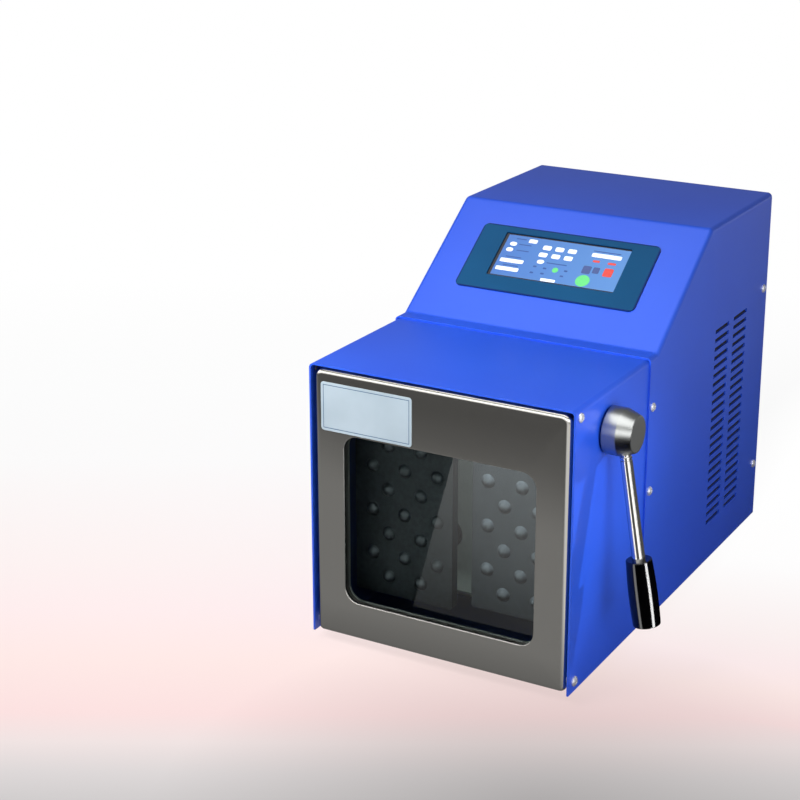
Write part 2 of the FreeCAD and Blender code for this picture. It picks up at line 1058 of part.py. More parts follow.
def pan_head(side, face, radius, y, z):
    """Domed head with a cross recess, standing on a side face of the housing."""
    top = face + case_head_height
    dome = case_head_height * (1 - head_rim_share)
    ball_radius = (radius**2 + dome**2) / (2 * dome)
    ball = Part.makeSphere(ball_radius, Vector(side * (top - ball_radius), y, z))
    disc = bar_x(radius, side_pair(side, face, top), y, z)
    recess_x = side_pair(side, top - cross_depth, top + 1)
    recess = [
        box(recess_x, pair(y, cross_reach), pair(z, cross_width / 2)),
        box(recess_x, pair(y, cross_width / 2), pair(z, cross_reach)),
    ]
    return disc.common(ball).cut(recess)


def make_hinge_pins():
    """Shoulder screws through the housing sides: head outside, pin in the block."""
    block_face = door_half_width - door_sheet
    pin_end = block_face - hinge_block_width
    shoulder = block_face + running_gap

    def screw(side):
        y = hinge_setback
        z = hinge_height
        pin = bar_x(hinge_pin_radius, side_pair(side, pin_end, half_width), y, z)
        collar_x = side_pair(side, shoulder, shell_inner)
        collar = bar_x(hinge_shoulder_radius, collar_x, y, z)
        return joined([pin, collar, pan_head(side, half_width, hinge_head_radius, y, z)])

    return group(both_sides(screw))


def window_ring(grow, span, corner):
    return slab_xz(
        pair(0, window_half_width + grow),
        (window_bottom - grow, window_top + grow),
        span,
        corner,
    )


def make_window_gasket():
    outer = window_ring(pane_overlap, (door_inner_face, gasket_back), pane_corner)
    hole = window_ring(1.0, (door_inner_face - 1, gasket_back + 1), window_corner)
    return outer.cut(hole)


def make_window_pane():
    return window_ring(pane_overlap, (gasket_back, pane_back), pane_corner)


def make_door_inner_frame():
    reach = door_half_width - door_sheet - inner_frame_gap
    plate = slab_xz(
        pair(0, reach),
        (inner_frame_bottom, door_top - door_sheet - inner_frame_gap),
        (pane_back, inner_frame_back),
        0.0,
        door_corner - door_sheet,
    )
    hole = window_ring(0.5, (pane_back - 1, inner_frame_back + 1), window_corner)
    screws = [
        bar_y(post_screw_radius, (pane_back - 1, inner_frame_back + 1), x, z)
        for x, z in post_places()
    ]
    return plate.cut([hole] + screws)


def make_inner_frame_screws():
    screws = []
    for x, z in post_places():
        shank = bar_y(post_screw_radius, (pane_back - post_screw_depth, inner_frame_back), x, z)
        head_span = (inner_frame_back, inner_frame_back + post_screw_head_height)
        head = bar_y(post_screw_head_radius, head_span, x, z)
        screws.append(joined([shank, head]))
    return group(screws)


def make_latch_ears():
    """Brackets on the door that reach back through the front frame to the hooks."""
    rear = striker_y + striker_radius + ear_rear_margin

    def ear(side):
        blade = slab_yz(
            [
                (inner_frame_back, ear_bottom),
                (rear, ear_bottom),
                (rear, ear_top),
                (inner_frame_back, ear_top),
            ],
            [0.0, ear_rear_margin, ear_rear_margin, 0.0],
            side_pair(side, ear_inner_x, ear_outer_x),
        )
        foot = box(
            side_pair(side, ear_inner_x, ear_outer_x + ear_foot),
            (inner_frame_back, inner_frame_back + ear_sheet),
            (ear_bottom, ear_top),
        )
        x = side_pair(side, ear_inner_x, ear_outer_x)
        return joined([blade, foot]).cut(bar_x(striker_radius, x, striker_y, latch_z))

    return group(both_sides(ear))


def make_striker_pins():
    return group(
        both_sides(
            lambda side: bar_x(
                striker_radius, side_pair(side, hook_x - 1, ear_outer_x), striker_y, latch_z
            )
        )
    )


def make_notice_plate():
    return slab_xz(
        (plate_left, plate_right),
        (plate_top - plate_height, plate_top),
        (door_recess - plate_thickness, door_recess),
        plate_corner,
    )


# Latch and lever


def make_latch_shaft():
    start = -(shell_inner + sheet / 2)
    end = half_width + bush_flange + hub_gap + hub_straight
    return bar_x(latch_shaft_radius, (start, end), latch_y, latch_z)


def make_latch_bushes():
    """Flanged bushes in both housing sides; the left one is closed outside."""
    bore = latch_shaft_radius + running_gap
    inner_end = shell_inner - bush_flange

    def bush(side):
        flange = bar_x(
            bush_flange_radius, side_pair(side, inner_end, shell_inner), latch_y, latch_z
        )
        outer_end = half_width + bush_flange * 0.4
        body = bar_x(
            bush_body_radius, side_pair(side, shell_inner, outer_end), latch_y, latch_z
        )
        bore_end = half_width + 2 if side > 0 else half_width - sheet / 2 + running_gap
        hole = bar_x(bore, side_pair(side, inner_end - 1, bore_end), latch_y, latch_z)
        return joined([flange, body]).cut(hole)

    return group(both_sides(bush))


def make_latch_hooks():
    """Hooks whose claws reach round the front of the striker pins."""
    claw_inner = striker_reach + striker_radius + striker_gap
    throat = striker_reach - striker_radius - striker_gap

    def sector(x, radius, low, high):
        """A slice of a disc round the shaft; angles start at the front and rise."""
        reach = radius / math.cos(math.radians((high - low) / 2)) + 1
        middle = math.radians((low + high) / 2)
        corners = [Vector(x[0], latch_y, latch_z)]
        for angle in (low, math.degrees(middle), high):
            turn = math.radians(angle)
            corners.append(
                Vector(
                    x[0],
                    latch_y - reach * math.cos(turn),
                    latch_z + reach * math.sin(turn),
                )
            )
        face = Part.Face(Part.makePolygon(corners + [corners[0]]))
        wedge = face.extrude(Vector(x[1] - x[0], 0, 0))
        return wedge.common(bar_x(radius, x, latch_y, latch_z))

    def hook(side):
        x = side_pair(side, hook_x, hook_x + hook_width)
        hub = bar_x(hook_hub_radius, x, latch_y, latch_z)
        arm = sector(x, hook_outer_radius, -hook_below, hook_above)
        slot_high = math.degrees((striker_radius + striker_gap) / striker_reach)
        slot = sector(x, claw_inner, -hook_below - 5, slot_high)
        slot = slot.cut(bar_x(throat, x, latch_y, latch_z))
        bore = bar_x(latch_shaft_radius, x, latch_y, latch_z)
        return joined([hub, arm.cut(slot)]).cut(bore)

    return group(both_sides(hook))


def lever_point(reach):
    """A point on the lever rod's axis, at a distance below the shaft's axis."""
    tilt = math.radians(lever_tilt)
    x = half_width + bush_flange * 0.4 + hub_gap + rod_axis_offset
    return Vector(x + reach * math.sin(tilt), latch_y, latch_z - reach * math.cos(tilt))


def lever_axis():
    return (lever_point(1.0) - lever_point(0.0)).normalize()


def make_lever_hub():
    start = half_width + bush_flange * 0.4 + hub_gap
    profile = [
        (0, 0),
        (0, hub_radius - hub_bevel),
        (hub_bevel, hub_radius),
        (hub_straight, hub_radius),
        (hub_length - hub_bevel, hub_end_radius),
        (hub_length, hub_end_radius - hub_bevel),
        (hub_length, 0),
    ]
    hub = turned(profile, Vector(start, latch_y, latch_z), X_AXIS)
    shaft = bar_x(
        latch_shaft_radius, (start - 1, half_width + bush_flange + hub_gap + hub_straight),
        latch_y, latch_z,
    )
    socket = round_bar(rod_groove_radius, lever_point(rod_entry), lever_point(grip_reach))
    return hub.cut([shaft, socket])


def make_lever_rod():
    """Steel rod: a thin spigot in the hub, a ring groove and a slightly tapered body."""
    length = grip_reach + grip_cover - rod_entry
    groove_end = rod_groove_reach - rod_entry
    profile = [
        (0, 0),
        (0, rod_groove_radius),
        (groove_end, rod_groove_radius),
        (groove_end, rod_radius_top - 0.3),
        (groove_end + 0.5, rod_radius_top),
        (groove_end + rod_groove_width, rod_radius_top),
        (groove_end + rod_groove_width + 0.4, rod_radius_top - 0.5),
        (groove_end + rod_groove_width + 1.2, rod_radius_top - 0.5),
        (groove_end + rod_groove_width + 1.6, rod_radius_top),
        (grip_reach - rod_entry, rod_radius_low),
        (grip_reach - rod_entry, rod_groove_radius),
        (length, rod_groove_radius),
        (length, 0),
    ]
    return turned(profile, lever_point(rod_entry), lever_axis())


def make_lever_grip():
    """Glossy barrelled grip with a flat end; its side is one smooth curve."""
    top = Vector(grip_top_radius, 0, grip_bevel)
    belly = Vector(grip_belly_radius, 0, grip_length * 0.62)
    end = Vector(grip_end_radius, 0, grip_length - grip_bevel)
    flat_top = Vector(grip_top_radius - grip_bevel, 0, 0)
    flat_end = Vector(grip_end_radius - grip_bevel, 0, grip_length)
    face = Part.Face(
        Part.Wire(
            [
                Part.makeLine(Vector(), flat_top),
                Part.makeLine(flat_top, top),
                Part.Arc(top, belly, end).toShape(),
                Part.makeLine(end, flat_end),
                Part.makeLine(flat_end, Vector(0, 0, grip_length)),
                Part.makeLine(Vector(0, 0, grip_length), Vector()),
            ]
        )
    )
    grip = face.revolve(Vector(), Z_AXIS, 360)
    turn = FreeCAD.Rotation(Z_AXIS, lever_axis())
    grip.Placement = FreeCAD.Placement(lever_point(grip_reach), turn)
    return grip.cut(
        round_bar(
            rod_groove_radius,
            lever_point(grip_reach - 1),
            lever_point(grip_reach + grip_cover),
        )
    )


# Paddles and their drive


def paddle_face(side):
    """At rest the left paddle is forward and the right one is back."""
    return paddle_face_front if side < 0 else paddle_face_front + paddle_stroke


def yoke_middle(side):
    return crank_y - crank_throw if side < 0 else crank_y + crank_throw


def bump_places(side):
    """Staggered round bumps: every second column starts half a pitch higher."""
    places = []
    for column in range(bump_column_count):
        x = side * (paddle_inner_x + bump_first_x + column * bump_pitch_x)
        staggered = column % 2 == 0
        start = paddle_bottom + bump_first_z + (bump_pitch_z / 2 if staggered else 0)
        height = start
        while height < paddle_top - bump_radius:
            places.append((x, height))
            height += bump_pitch_z
    return places


def make_paddle(side):
    """Paddle plate with domed bumps in front and two rod bosses behind."""
    face = paddle_face(side)
    back = face + paddle_thickness
    plate = slab_xz(
        side_pair(side, paddle_inner_x, paddle_outer_x),
        (paddle_bottom, paddle_top),
        (face, back),
        paddle_corner,
    )
    sphere_radius = (bump_radius**2 + bump_height**2) / (2 * bump_height)
    depth = sphere_radius - bump_height
    bumps = [
        Part.makeSphere(sphere_radius, Vector(x, face + depth, z))
        for x, z in bump_places(side)
    ]
    bosses = [
        bar_y(paddle_boss_radius, (back, back + paddle_boss_length), x, z)
        for x, z in rod_places(side)
    ]
    bores = [
        bar_y(push_rod_radius, (back, back + paddle_boss_length + 1), x, z)
        for x, z in rod_places(side)
    ]
    return joined([plate] + bumps + bosses).cut(bores)


def make_push_rods(side):
    start = paddle_face(side) + paddle_thickness
    end = yoke_middle(side) - yoke_half_y + yoke_socket
    return group([bar_y(push_rod_radius, (start, end), x, z) for x, z in rod_places(side)])


def rounded_block(half_y, half_z, middle_y, radius, x):
    points = [
        (middle_y - half_y, crank_z - half_z),
        (middle_y + half_y, crank_z - half_z),
        (middle_y + half_y, crank_z + half_z),
        (middle_y - half_y, crank_z + half_z),
    ]
    return slab_yz(points, [radius] * 4, x)


def make_yoke(side):
    """Block with the upright slot that an eccentric's bearing runs in."""
    x = pair(side * paddle_middle_x, yoke_width / 2)
    middle = yoke_middle(side)
    block = rounded_block(yoke_half_y, yoke_half_z, middle, yoke_corner, x)
    slot = rounded_block(yoke_slot_half_y, yoke_slot_half_z, middle, yoke_slot_corner, x)
    front = middle - yoke_half_y
    sockets = [
        bar_y(push_rod_radius, (front - 1, front + yoke_socket), rod_x, rod_z)
        for rod_x, rod_z in rod_places(side)
    ]
    return block.cut([slot] + sockets)


def make_crankshaft():
    """Journals at both ends and a thicker middle between the eccentrics."""
    start = -(pedestal_x + pedestal_width / 2 + 4)
    bevel = 1.0
    profile = [
        (0, 0),
        (0, crank_radius - bevel),
        (bevel, crank_radius),
        (-crank_middle_half - start, crank_radius),
        (-crank_middle_half - start, crank_middle_radius),
        (crank_middle_half - start, crank_middle_radius),
        (crank_middle_half - start, crank_radius),
        (shaft_end_x - start - bevel, crank_radius),
        (shaft_end_x - start, crank_radius - bevel),
        (shaft_end_x - start, 0),
    ]
    return turned(profile, Vector(start, crank_y, crank_z), X_AXIS)


def make_eccentrics():
    """Two opposed eccentric discs with clamping collars, bored for the shaft."""

    def eccentric(side):
        middle = side * paddle_middle_x
        x = pair(middle, eccentric_width / 2)
        disc = bar_x(eccentric_radius, x, crank_y + side * crank_throw, crank_z)
        face = paddle_middle_x + eccentric_width / 2
        collar_x = side_pair(side, face, face + eccentric_collar)
        collar = bar_x(eccentric_collar_radius, collar_x, crank_y, crank_z)
        bore = bar_x(crank_radius, pair(middle, eccentric_width), crank_y, crank_z)
        return joined([disc, collar]).cut(bore)

    return group(both_sides(eccentric))


def make_eccentric_bearings():
    """Shielded ball bearings on the eccentrics: two races and a shield each."""
    rings = []
    inner_edge = eccentric_radius + bearing_inner_wall
    outer_edge = bearing_radius - bearing_outer_wall
    for side in LEFT_AND_RIGHT:
        y = crank_y + side * crank_throw
        x = pair(side * paddle_middle_x, bearing_width / 2)
        shield_x = pair(side * paddle_middle_x, bearing_width / 2 - 0.5)
        rings.append(tube_x(inner_edge, eccentric_radius, x, y, crank_z))
        rings.append(tube_x(bearing_radius, outer_edge, x, y, crank_z))
        rings.append(tube_x(outer_edge, inner_edge, shield_x, y, crank_z))
    return group(rings)


def main_bearing_x(side):
    return pair(side * pedestal_x, main_bearing_width / 2)


def make_main_bearing_outers():
    """Outer races with shields that run close to the inner races."""

    def race(side):
        x = main_bearing_x(side)
        ring = tube_x(main_bearing_radius, main_bearing_race, x, crank_y, crank_z)
        shield_bore = main_bearing_inner + running_gap
        shields = [
            tube_x(main_bearing_race, shield_bore, span, crank_y, crank_z)
            for span in (
                (x[0], x[0] + main_bearing_shield),
                (x[1] - main_bearing_shield, x[1]),
            )
        ]
        return joined([ring] + shields)

    return group(both_sides(race))


def make_main_bearing_inners():
    return group(
        both_sides(
            lambda side: tube_x(
                main_bearing_inner, crank_radius, main_bearing_x(side), crank_y, crank_z
            )
        )
    )


def make_bearing_pedestals():
    """Upright plates with a round head for the bearing, a window and a screwed foot."""
    screws = make_pedestal_screws()

    def pedestal(side):
        x = pair(side * pedestal_x, pedestal_width / 2)
        foot_top = base_sheet + pedestal_foot_height
        web = plain_slab_yz(
            [
                (crank_y - pedestal_foot / 2, base_sheet),
                (crank_y + pedestal_foot / 2, base_sheet),
                (crank_y + pedestal_foot / 2, foot_top),
                (crank_y + pedestal_head_radius, crank_z),
                (crank_y - pedestal_head_radius, crank_z),
                (crank_y - pedestal_foot / 2, foot_top),
            ],
            x,
        )
        head = bar_x(pedestal_head_radius, x, crank_y, crank_z)
        foot = box(
            pair(side * pedestal_x, pedestal_foot_width / 2),
            pair(crank_y, pedestal_foot / 2),
            (base_sheet, foot_top),
        )
        seat = bar_x(main_bearing_radius, main_bearing_x(side), crank_y, crank_z)
        shaft_hole = bar_x(main_bearing_race, x, crank_y, crank_z)
        window_z = (foot_top + crank_z - main_bearing_radius) / 2
        window = bar_x(pedestal_window_radius, x, crank_y, window_z)
        holes = [
            bar_z(pedestal_screw_radius, (base_sheet - 1, foot_top + 1), screw_x, screw_y)
            for screw_x, screw_y in pedestal_screw_places(side)
        ]
        return joined([web, head, foot]).cut([seat, shaft_hole, window] + holes)

    return group(both_sides(pedestal) + screws)


def pedestal_screw_places(side):
    offset = (pedestal_width + pedestal_foot_width) / 4
    return [
        (side * pedestal_x + across * offset, crank_y + along * (pedestal_foot / 2 - pedestal_screw_inset))
        for across in LEFT_AND_RIGHT
        for along in LEFT_AND_RIGHT
    ]


def make_pedestal_screws():
    foot_top = base_sheet + pedestal_foot_height
    screws = []
    for x, y in pedestal_screw_places(-1) + pedestal_screw_places(1):
        shank = bar_z(pedestal_screw_radius, (base_sheet, foot_top), x, y)
        head_span = (foot_top, foot_top + pedestal_screw_head_height)
        head = bar_z(pedestal_screw_head, head_span, x, y)
        socket_span = (foot_top + pedestal_screw_head_height / 2, head_span[1] + 1)
        socket = bar_z(pedestal_screw_radius - 0.5, socket_span, x, y)
        screws.append(joined([shank, head]).cut(socket))
    return screws


def groove_profile(radius):
    """Rim of a pulley from left to right, with the V groove the belt sits in."""
    half = pulley_width / 2
    top = belt_top_width / 2 + belt_gap
    bottom = belt_bottom_width / 2 + belt_gap
    depth = belt_depth + belt_gap
    return [
        (-half, radius),
        (-top, radius),
        (-bottom, radius - depth),
        (bottom, radius - depth),
        (top, radius),
        (half, radius),
    ]


def make_crank_pulley():
    """Spoked V pulley: a rim, a recessed web with round holes and a long hub."""
    half = pulley_width / 2
    hub_length = belt_x - half - pulley_hub_start
    web = half - pulley_web_recess
    profile = groove_profile(crank_pulley_radius) + [
        (half, pulley_web_radius),
        (web, pulley_web_radius),
        (web, pulley_hub_radius),
        (half, pulley_hub_radius),
        (half, crank_radius),
        (-half - hub_length, crank_radius),
        (-half - hub_length, pulley_hub_radius),
        (-web, pulley_hub_radius),
        (-web, pulley_web_radius),
        (-half, pulley_web_radius),
    ]
    pulley = turned(profile, Vector(belt_x, crank_y, crank_z), X_AXIS)
    holes = []
    for index in range(pulley_hole_count):
        turn = math.radians(90 + index * 360 / pulley_hole_count)
        y = crank_y + pulley_hole_circle * math.cos(turn)
        z = crank_z + pulley_hole_circle * math.sin(turn)
        holes.append(bar_x(pulley_hole_radius, pair(belt_x, half), y, z))
    return pulley.cut(holes)


def make_motor_pulley():
    half = pulley_width / 2
    profile = groove_profile(motor_pulley_radius) + [
        (half, motor_shaft_radius),
        (-half, motor_shaft_radius),
    ]
    return turned(profile, Vector(belt_x, motor_y, motor_z), X_AXIS)


def make_drive_belt():
    """Closed V belt along the two outside tangents of the pulleys."""
    crank = Vector(belt_x, crank_y, crank_z)
    motor = Vector(belt_x, motor_y, motor_z)
    between = motor - crank
    lean = math.asin((crank_pulley_radius - motor_pulley_radius) / between.Length)
    heading = math.atan2(between.z, between.y)

    def around(centre, radius, angle):
        return centre + Vector(0, radius * math.cos(angle), radius * math.sin(angle))

    upper = heading + math.pi / 2 - lean
    lower = heading - math.pi / 2 + lean
    crank_upper = around(crank, crank_pulley_radius, upper)
    crank_lower = around(crank, crank_pulley_radius, lower)
    motor_upper = around(motor, motor_pulley_radius, upper)
    motor_lower = around(motor, motor_pulley_radius, lower)
    crank_far = around(crank, crank_pulley_radius, heading + math.pi)
    motor_far = around(motor, motor_pulley_radius, heading)
    path = Part.Wire(
        [
            Part.makeLine(crank_upper, motor_upper),
            Part.Arc(motor_upper, motor_far, motor_lower).toShape(),
            Part.makeLine(motor_lower, crank_lower),
            Part.Arc(crank_lower, crank_far, crank_upper).toShape(),
        ]
    )
    inward = (crank - crank_upper).normalize()
    top = X_AXIS * (belt_top_width / 2)
    bottom = X_AXIS * (belt_bottom_width / 2)
    corners = [
        crank_upper - top,
        crank_upper + top,
        crank_upper + bottom + inward * belt_depth,
        crank_upper - bottom + inward * belt_depth,
    ]
    section = Part.makePolygon(corners + [corners[0]])
    return path.makePipeShell([section], True, False)


def make_motor():
    """Can with cast end bells; the front one has the pilot boss and the shaft's bore."""
    can_x = (motor_rear_x + motor_bell, motor_front_x - motor_bell)
    can = bar_x(motor_radius, can_x, motor_y, motor_z)
    radius = motor_radius + motor_bell_step
    rear_profile = [
        (0, 0),
        (0, radius * 0.7),
        (motor_bell * 0.4, radius),
        (motor_bell, radius),
        (motor_bell, 0),
    ]
    rear = turned(rear_profile, Vector(motor_rear_x, motor_y, motor_z), X_AXIS)
    front = bar_x(radius, (can_x[1], motor_front_x), motor_y, motor_z)
    boss_x = (motor_front_x, motor_front_x + motor_boss_length)
    boss = bar_x(motor_boss_radius, boss_x, motor_y, motor_z)
    bore_x = (motor_front_x - motor_bell / 2, boss_x[1] + 1)
    bore = bar_x(motor_shaft_radius + running_gap, bore_x, motor_y, motor_z)
    return joined([can, rear, front, boss]).cut(bore)


def make_motor_shaft():
    span = (motor_front_x - motor_bell / 2 + running_gap, shaft_end_x)
    return bar_x(motor_shaft_radius, span, motor_y, motor_z)


def make_motor_bracket():
    """Angle bracket: the motor's face screws to it and its foot to the base."""
    radius = motor_radius + motor_bell_step + bracket_margin
    x = (motor_front_x, motor_front_x + bracket_sheet)
    upright = joined(
        [
            bar_x(radius, x, motor_y, motor_z),
            box(x, pair(motor_y, radius), (base_sheet, motor_z)),
        ]
    )
    foot = box(
        (motor_front_x, motor_front_x + bracket_foot),
        pair(motor_y, radius),
        (base_sheet, base_sheet + bracket_sheet),
    )
    pilot = bar_x(motor_boss_radius, x, motor_y, motor_z)
    return joined([upright, foot]).cut(pilot)


# Display


def make_fascia():
    plate = slope_slab(
        fascia_half_width, (fascia_low, fascia_high), (0, fascia_thickness), fascia_corner
    )
    hole = slope_slab(
        screen_half_width, (screen_low, screen_high), (-1, fascia_thickness + 1),
        screen_corner,
    )
    return on_slope(plate.cut(hole))


def display_seat_span():
    return (screen_low - seat_margin, screen_high + seat_margin)


def make_display_module():
    """Frame under the cover sheet, with a raised seat for the screen glass."""
    seat_top = fascia_thickness - screen_recess - screen_thickness
    body = slope_slab(
        screen_half_width + display_margin,
        (screen_low - display_margin, screen_high + display_margin),
        (-sheet - display_depth, -sheet),
        display_corner,
    )
    seat = slope_slab(
        screen_half_width + seat_margin, display_seat_span(), (-sheet, seat_top),
        screen_corner,
    )
    standoffs = [
        Part.makeCylinder(
            standoff_radius, board_gap, Vector(x, along, -sheet - display_depth - board_gap)
        )
        for x, along in standoff_places()
    ]
    return on_slope(joined([body, seat] + standoffs))


def standoff_places():
    x = screen_half_width + display_margin - standoff_inset
    low = screen_low - display_margin + standoff_inset
    high = screen_high + display_margin - standoff_inset
    return [
        (fascia_shift + side * x, along) for side in LEFT_AND_RIGHT for along in (low, high)
    ]


def make_screen_glass():
    top = fascia_thickness - screen_recess
    return on_slope(
        slope_slab(
            screen_half_width, (screen_low, screen_high), (top - screen_thickness, top),
            screen_corner,
        )
    )


def make_controller_board():
    top = -sheet - display_depth - board_gap
    reach = display_margin - board_margin
    board = slope_slab(
        screen_half_width + reach,
        (screen_low - reach, screen_high + reach),
        (top - board_thickness, top),
        board_margin,
    )
    return on_slope(board)


# Rear pieces


def make_fan_frame():
    """Square fan housing with a round duct, four corner pins and a hub spider."""
    front = rear_inner - fan_depth
    body = slab_xz(
        pair(fan_x, fan_half), pair(fan_z, fan_half), (front, rear_inner), fan_screw_inset
    )
    duct = bar_y(fan_bore_radius, (front + fan_spider_depth, rear_inner + 1), fan_x, fan_z)
    mouth = bar_y(fan_bore_radius, (front - 1, rear_inner + 1), fan_x, fan_z)
    spokes = [
        box(
            pair(fan_x, fan_half), (front, front + fan_spider_depth),
            pair(fan_z, fan_spider_width / 2),
        ),
        box(
            pair(fan_x, fan_spider_width / 2), (front, front + fan_spider_depth),
            pair(fan_z, fan_half),
        ),
        bar_y(fan_hub_radius, (front, front + fan_spider_depth), fan_x, fan_z),
    ]
    spider = joined([spoke.common(mouth) for spoke in spokes])
    pins = [
        bar_y(fan_pin_radius, (rear_inner, housing_depth), x, z) for x, z in fan_corners()
    ]
    return joined([body.cut(mouth), spider.cut(duct)] + pins)


def make_fan_impeller():
    """Hub with pitched blades, running clear of the duct and the spider."""
    start = rear_inner - fan_depth + fan_spider_depth + 0.3
    end = start + fan_hub_depth - 1.0
    hub = bar_y(fan_hub_radius, (start, end), fan_x, fan_z)
    tip = fan_bore_radius - fan_tip_gap
    middle = (start + end) / 2
    length = (end - start - 1.0) / math.cos(math.radians(fan_blade_pitch)) - 2.0
    limit = bar_y(tip, (start, end), fan_x, fan_z)
    blades = []
    for index in range(fan_blade_count):
        blade = Part.makeBox(
            fan_blade_thickness,
            length,
            tip,
            Vector(-fan_blade_thickness / 2, -length / 2, 0),
        )
        blade.rotate(Vector(), Z_AXIS, fan_blade_pitch)
        blade.rotate(Vector(), Y_AXIS, index * 360 / fan_blade_count)
        blade.translate(Vector(fan_x, middle, fan_z))
        blades.append(blade.common(limit))
    return joined([hub] + blades)


def make_power_inlet():
    """Mains inlet: flange on the panel, chamfered socket and three blades."""
    front = rear_inner - inlet_depth
    flange_end = housing_depth + inlet_flange
    body = slab_xz(
        pair(inlet_x, inlet_half_width + inlet_wall),
        pair(inlet_z, inlet_half_height + inlet_wall),
        (front, flange_end),
    )
    flange = slab_xz(
        pair(inlet_x, inlet_flange_half_width),
        pair(inlet_z, inlet_flange_half_height),
        (housing_depth, flange_end),
        inlet_chamfer,
    )
    cavity_start = flange_end - inlet_cavity
    left = inlet_x - inlet_half_width
    right = inlet_x + inlet_half_width
    low = inlet_z - inlet_half_height
    high = inlet_z + inlet_half_height
    points = [
        Vector(left, cavity_start, low),
        Vector(right, cavity_start, low),
        Vector(right, cavity_start, high - inlet_chamfer),
        Vector(right - inlet_chamfer, cavity_start, high),
        Vector(left + inlet_chamfer, cavity_start, high),
        Vector(left, cavity_start, high - inlet_chamfer),
    ]
    mouth = Part.Face(Part.makePolygon(points + [points[0]]))
    cavity = mouth.extrude(Vector(0, inlet_cavity + 1, 0))
    blades = []
    for step, rise in ((-1, 0.0), (0, inlet_pin_drop), (1, 0.0)):
        blades.append(
            box(
                pair(inlet_x + step * inlet_pin_pitch, inlet_pin_half_width),
                (cavity_start - 1, flange_end - inlet_pin_end_gap),
                pair(inlet_z - inlet_pin_drop / 2 + rise, inlet_pin_half_height),
            )
        )
    return joined([joined([body, flange]).cut(cavity)] + blades)


def rocker_middle():
    return housing_depth + switch_rim - rocker_setback


def make_switch_body():
    """Housing with a rim, a well for the rocker and the cross pin it tips on."""
    rim_end = housing_depth + switch_rim
    body = slab_xz(
        pair(switch_x, switch_half_width),
        pair(switch_z, switch_half_height),
        (rear_inner - switch_depth, rim_end),
    )
    rim = slab_xz(
        pair(switch_x, switch_half_width + switch_rim),
        pair(switch_z, switch_half_height + switch_rim),
        (housing_depth, rim_end),
        switch_rim,
    )
    half_z = switch_half_height - switch_rim
    well = slab_xz(
        pair(switch_x, switch_half_width - switch_rim),
        pair(switch_z, half_z),
        (rocker_middle() - rocker_hub_radius - rocker_gap, rim_end + 1),
    )
    pin = bar_z(rocker_pin_radius, pair(switch_z, half_z + 1), switch_x, rocker_middle())
    return joined([joined([body, rim]).cut(well), pin])


def make_switch_rocker():
    """Dished rocker, tipped to its off side on the body's cross pin."""
    middle_y = rocker_middle()
    half_z = switch_half_height - switch_rim - rocker_gap
    span = pair(switch_z, half_z)
    block = box(
        pair(switch_x, rocker_half_length), (middle_y, middle_y + rocker_radius), span
    )
    key = bar_z(rocker_radius, span, switch_x, middle_y).common(block)
    dish_y = middle_y + rocker_dish_height + rocker_dish_radius
    across = pair(switch_z, half_z + 1)
    dish = bar_z(rocker_dish_radius, across, switch_x, dish_y)
    hub = bar_z(rocker_hub_radius, span, switch_x, middle_y)
    bore = bar_z(rocker_pin_radius + running_gap, across, switch_x, middle_y)
    key = joined([key.cut(dish), hub]).cut(bore)
    key.rotate(Vector(switch_x, middle_y, switch_z), Z_AXIS, rocker_tilt)
    return key


def make_fuse_holder():
    body = bar_y(fuse_body_radius, (rear_inner - fuse_depth, housing_depth), fuse_x, fuse_z)
    cap_end = housing_depth + fuse_cap_height
    cap = bar_y(fuse_cap_radius, (housing_depth, cap_end), fuse_x, fuse_z)
    slot = box(
        pair(fuse_x, fuse_cap_radius),
        (cap_end - fuse_slot_depth, cap_end + 1),
        pair(fuse_z, fuse_slot_width / 2),
    )
    return joined([body, cap]).cut(slot)


def make_power_supply():
    """Boxed supply with a lid lip and a terminal block at its front end."""
    x = pair(supply_x, supply_width / 2)
    y = (supply_start, supply_start + supply_length)
    z = (base_sheet, base_sheet + supply_height)
    case = box(x, y, z)
    lid = box(
        (x[0] - supply_lid, x[1] + supply_lid),
        (y[0] + supply_lid, y[1] - supply_lid),
        (z[1] - terminal_height, z[1] + supply_lid),
    )
    terminals = box(
        (x[0] + supply_lid, x[1] - supply_lid),
        (y[0] - terminal_length, y[0]),
        (z[0], z[0] + terminal_height),
    )
    return joined([case, lid, terminals])


# Feet and screws


def make_rubber_feet():
    """Tapered feet with a recess for the screw head."""
    profile = [
        (0, foot_radius),
        (-foot_height, foot_radius - foot_taper),
        (-foot_height, foot_recess_radius),
        (foot_recess_depth - foot_height, foot_recess_radius),
        (foot_recess_depth - foot_height, foot_screw_radius),
        (0, foot_screw_radius),
    ]
    return group([turned(profile, Vector(x, y, 0), Z_AXIS) for x, y in foot_places()])


def foot_screw(x, y):
    seat = foot_recess_depth - foot_height
    shank = bar_z(foot_screw_radius, (seat, base_sheet), x, y)
    head = bar_z(foot_screw_head_radius, (seat - foot_screw_head_height, seat), x, y)
    return joined([shank, head])


def case_screw(side, y, z, face, nut):
    """Screw through one side of the housing, with its nut inside where it has one."""
    start = shell_inner - nut
    shank = bar_x(case_screw_radius, side_pair(side, start, face), y, z)
    body = [shank, pan_head(side, face, case_head_radius, y, z)]
    if nut:
        body.append(bar_x(nut_radius, side_pair(side, start, shell_inner), y, z))
    return joined(body)


def make_housing_screws():
    """Case screws on both sides and the screws in the feet."""
    screws = [foot_screw(x, y) for x, y in foot_places()]
    for side in LEFT_AND_RIGHT:
        screws.append(case_screw(side, *corner_screw, half_width, 0.0))
        for y, z in lap_screws + rear_screws:
            screws.append(case_screw(side, y, z, cover_half_width, nut_length))
    return group(screws)


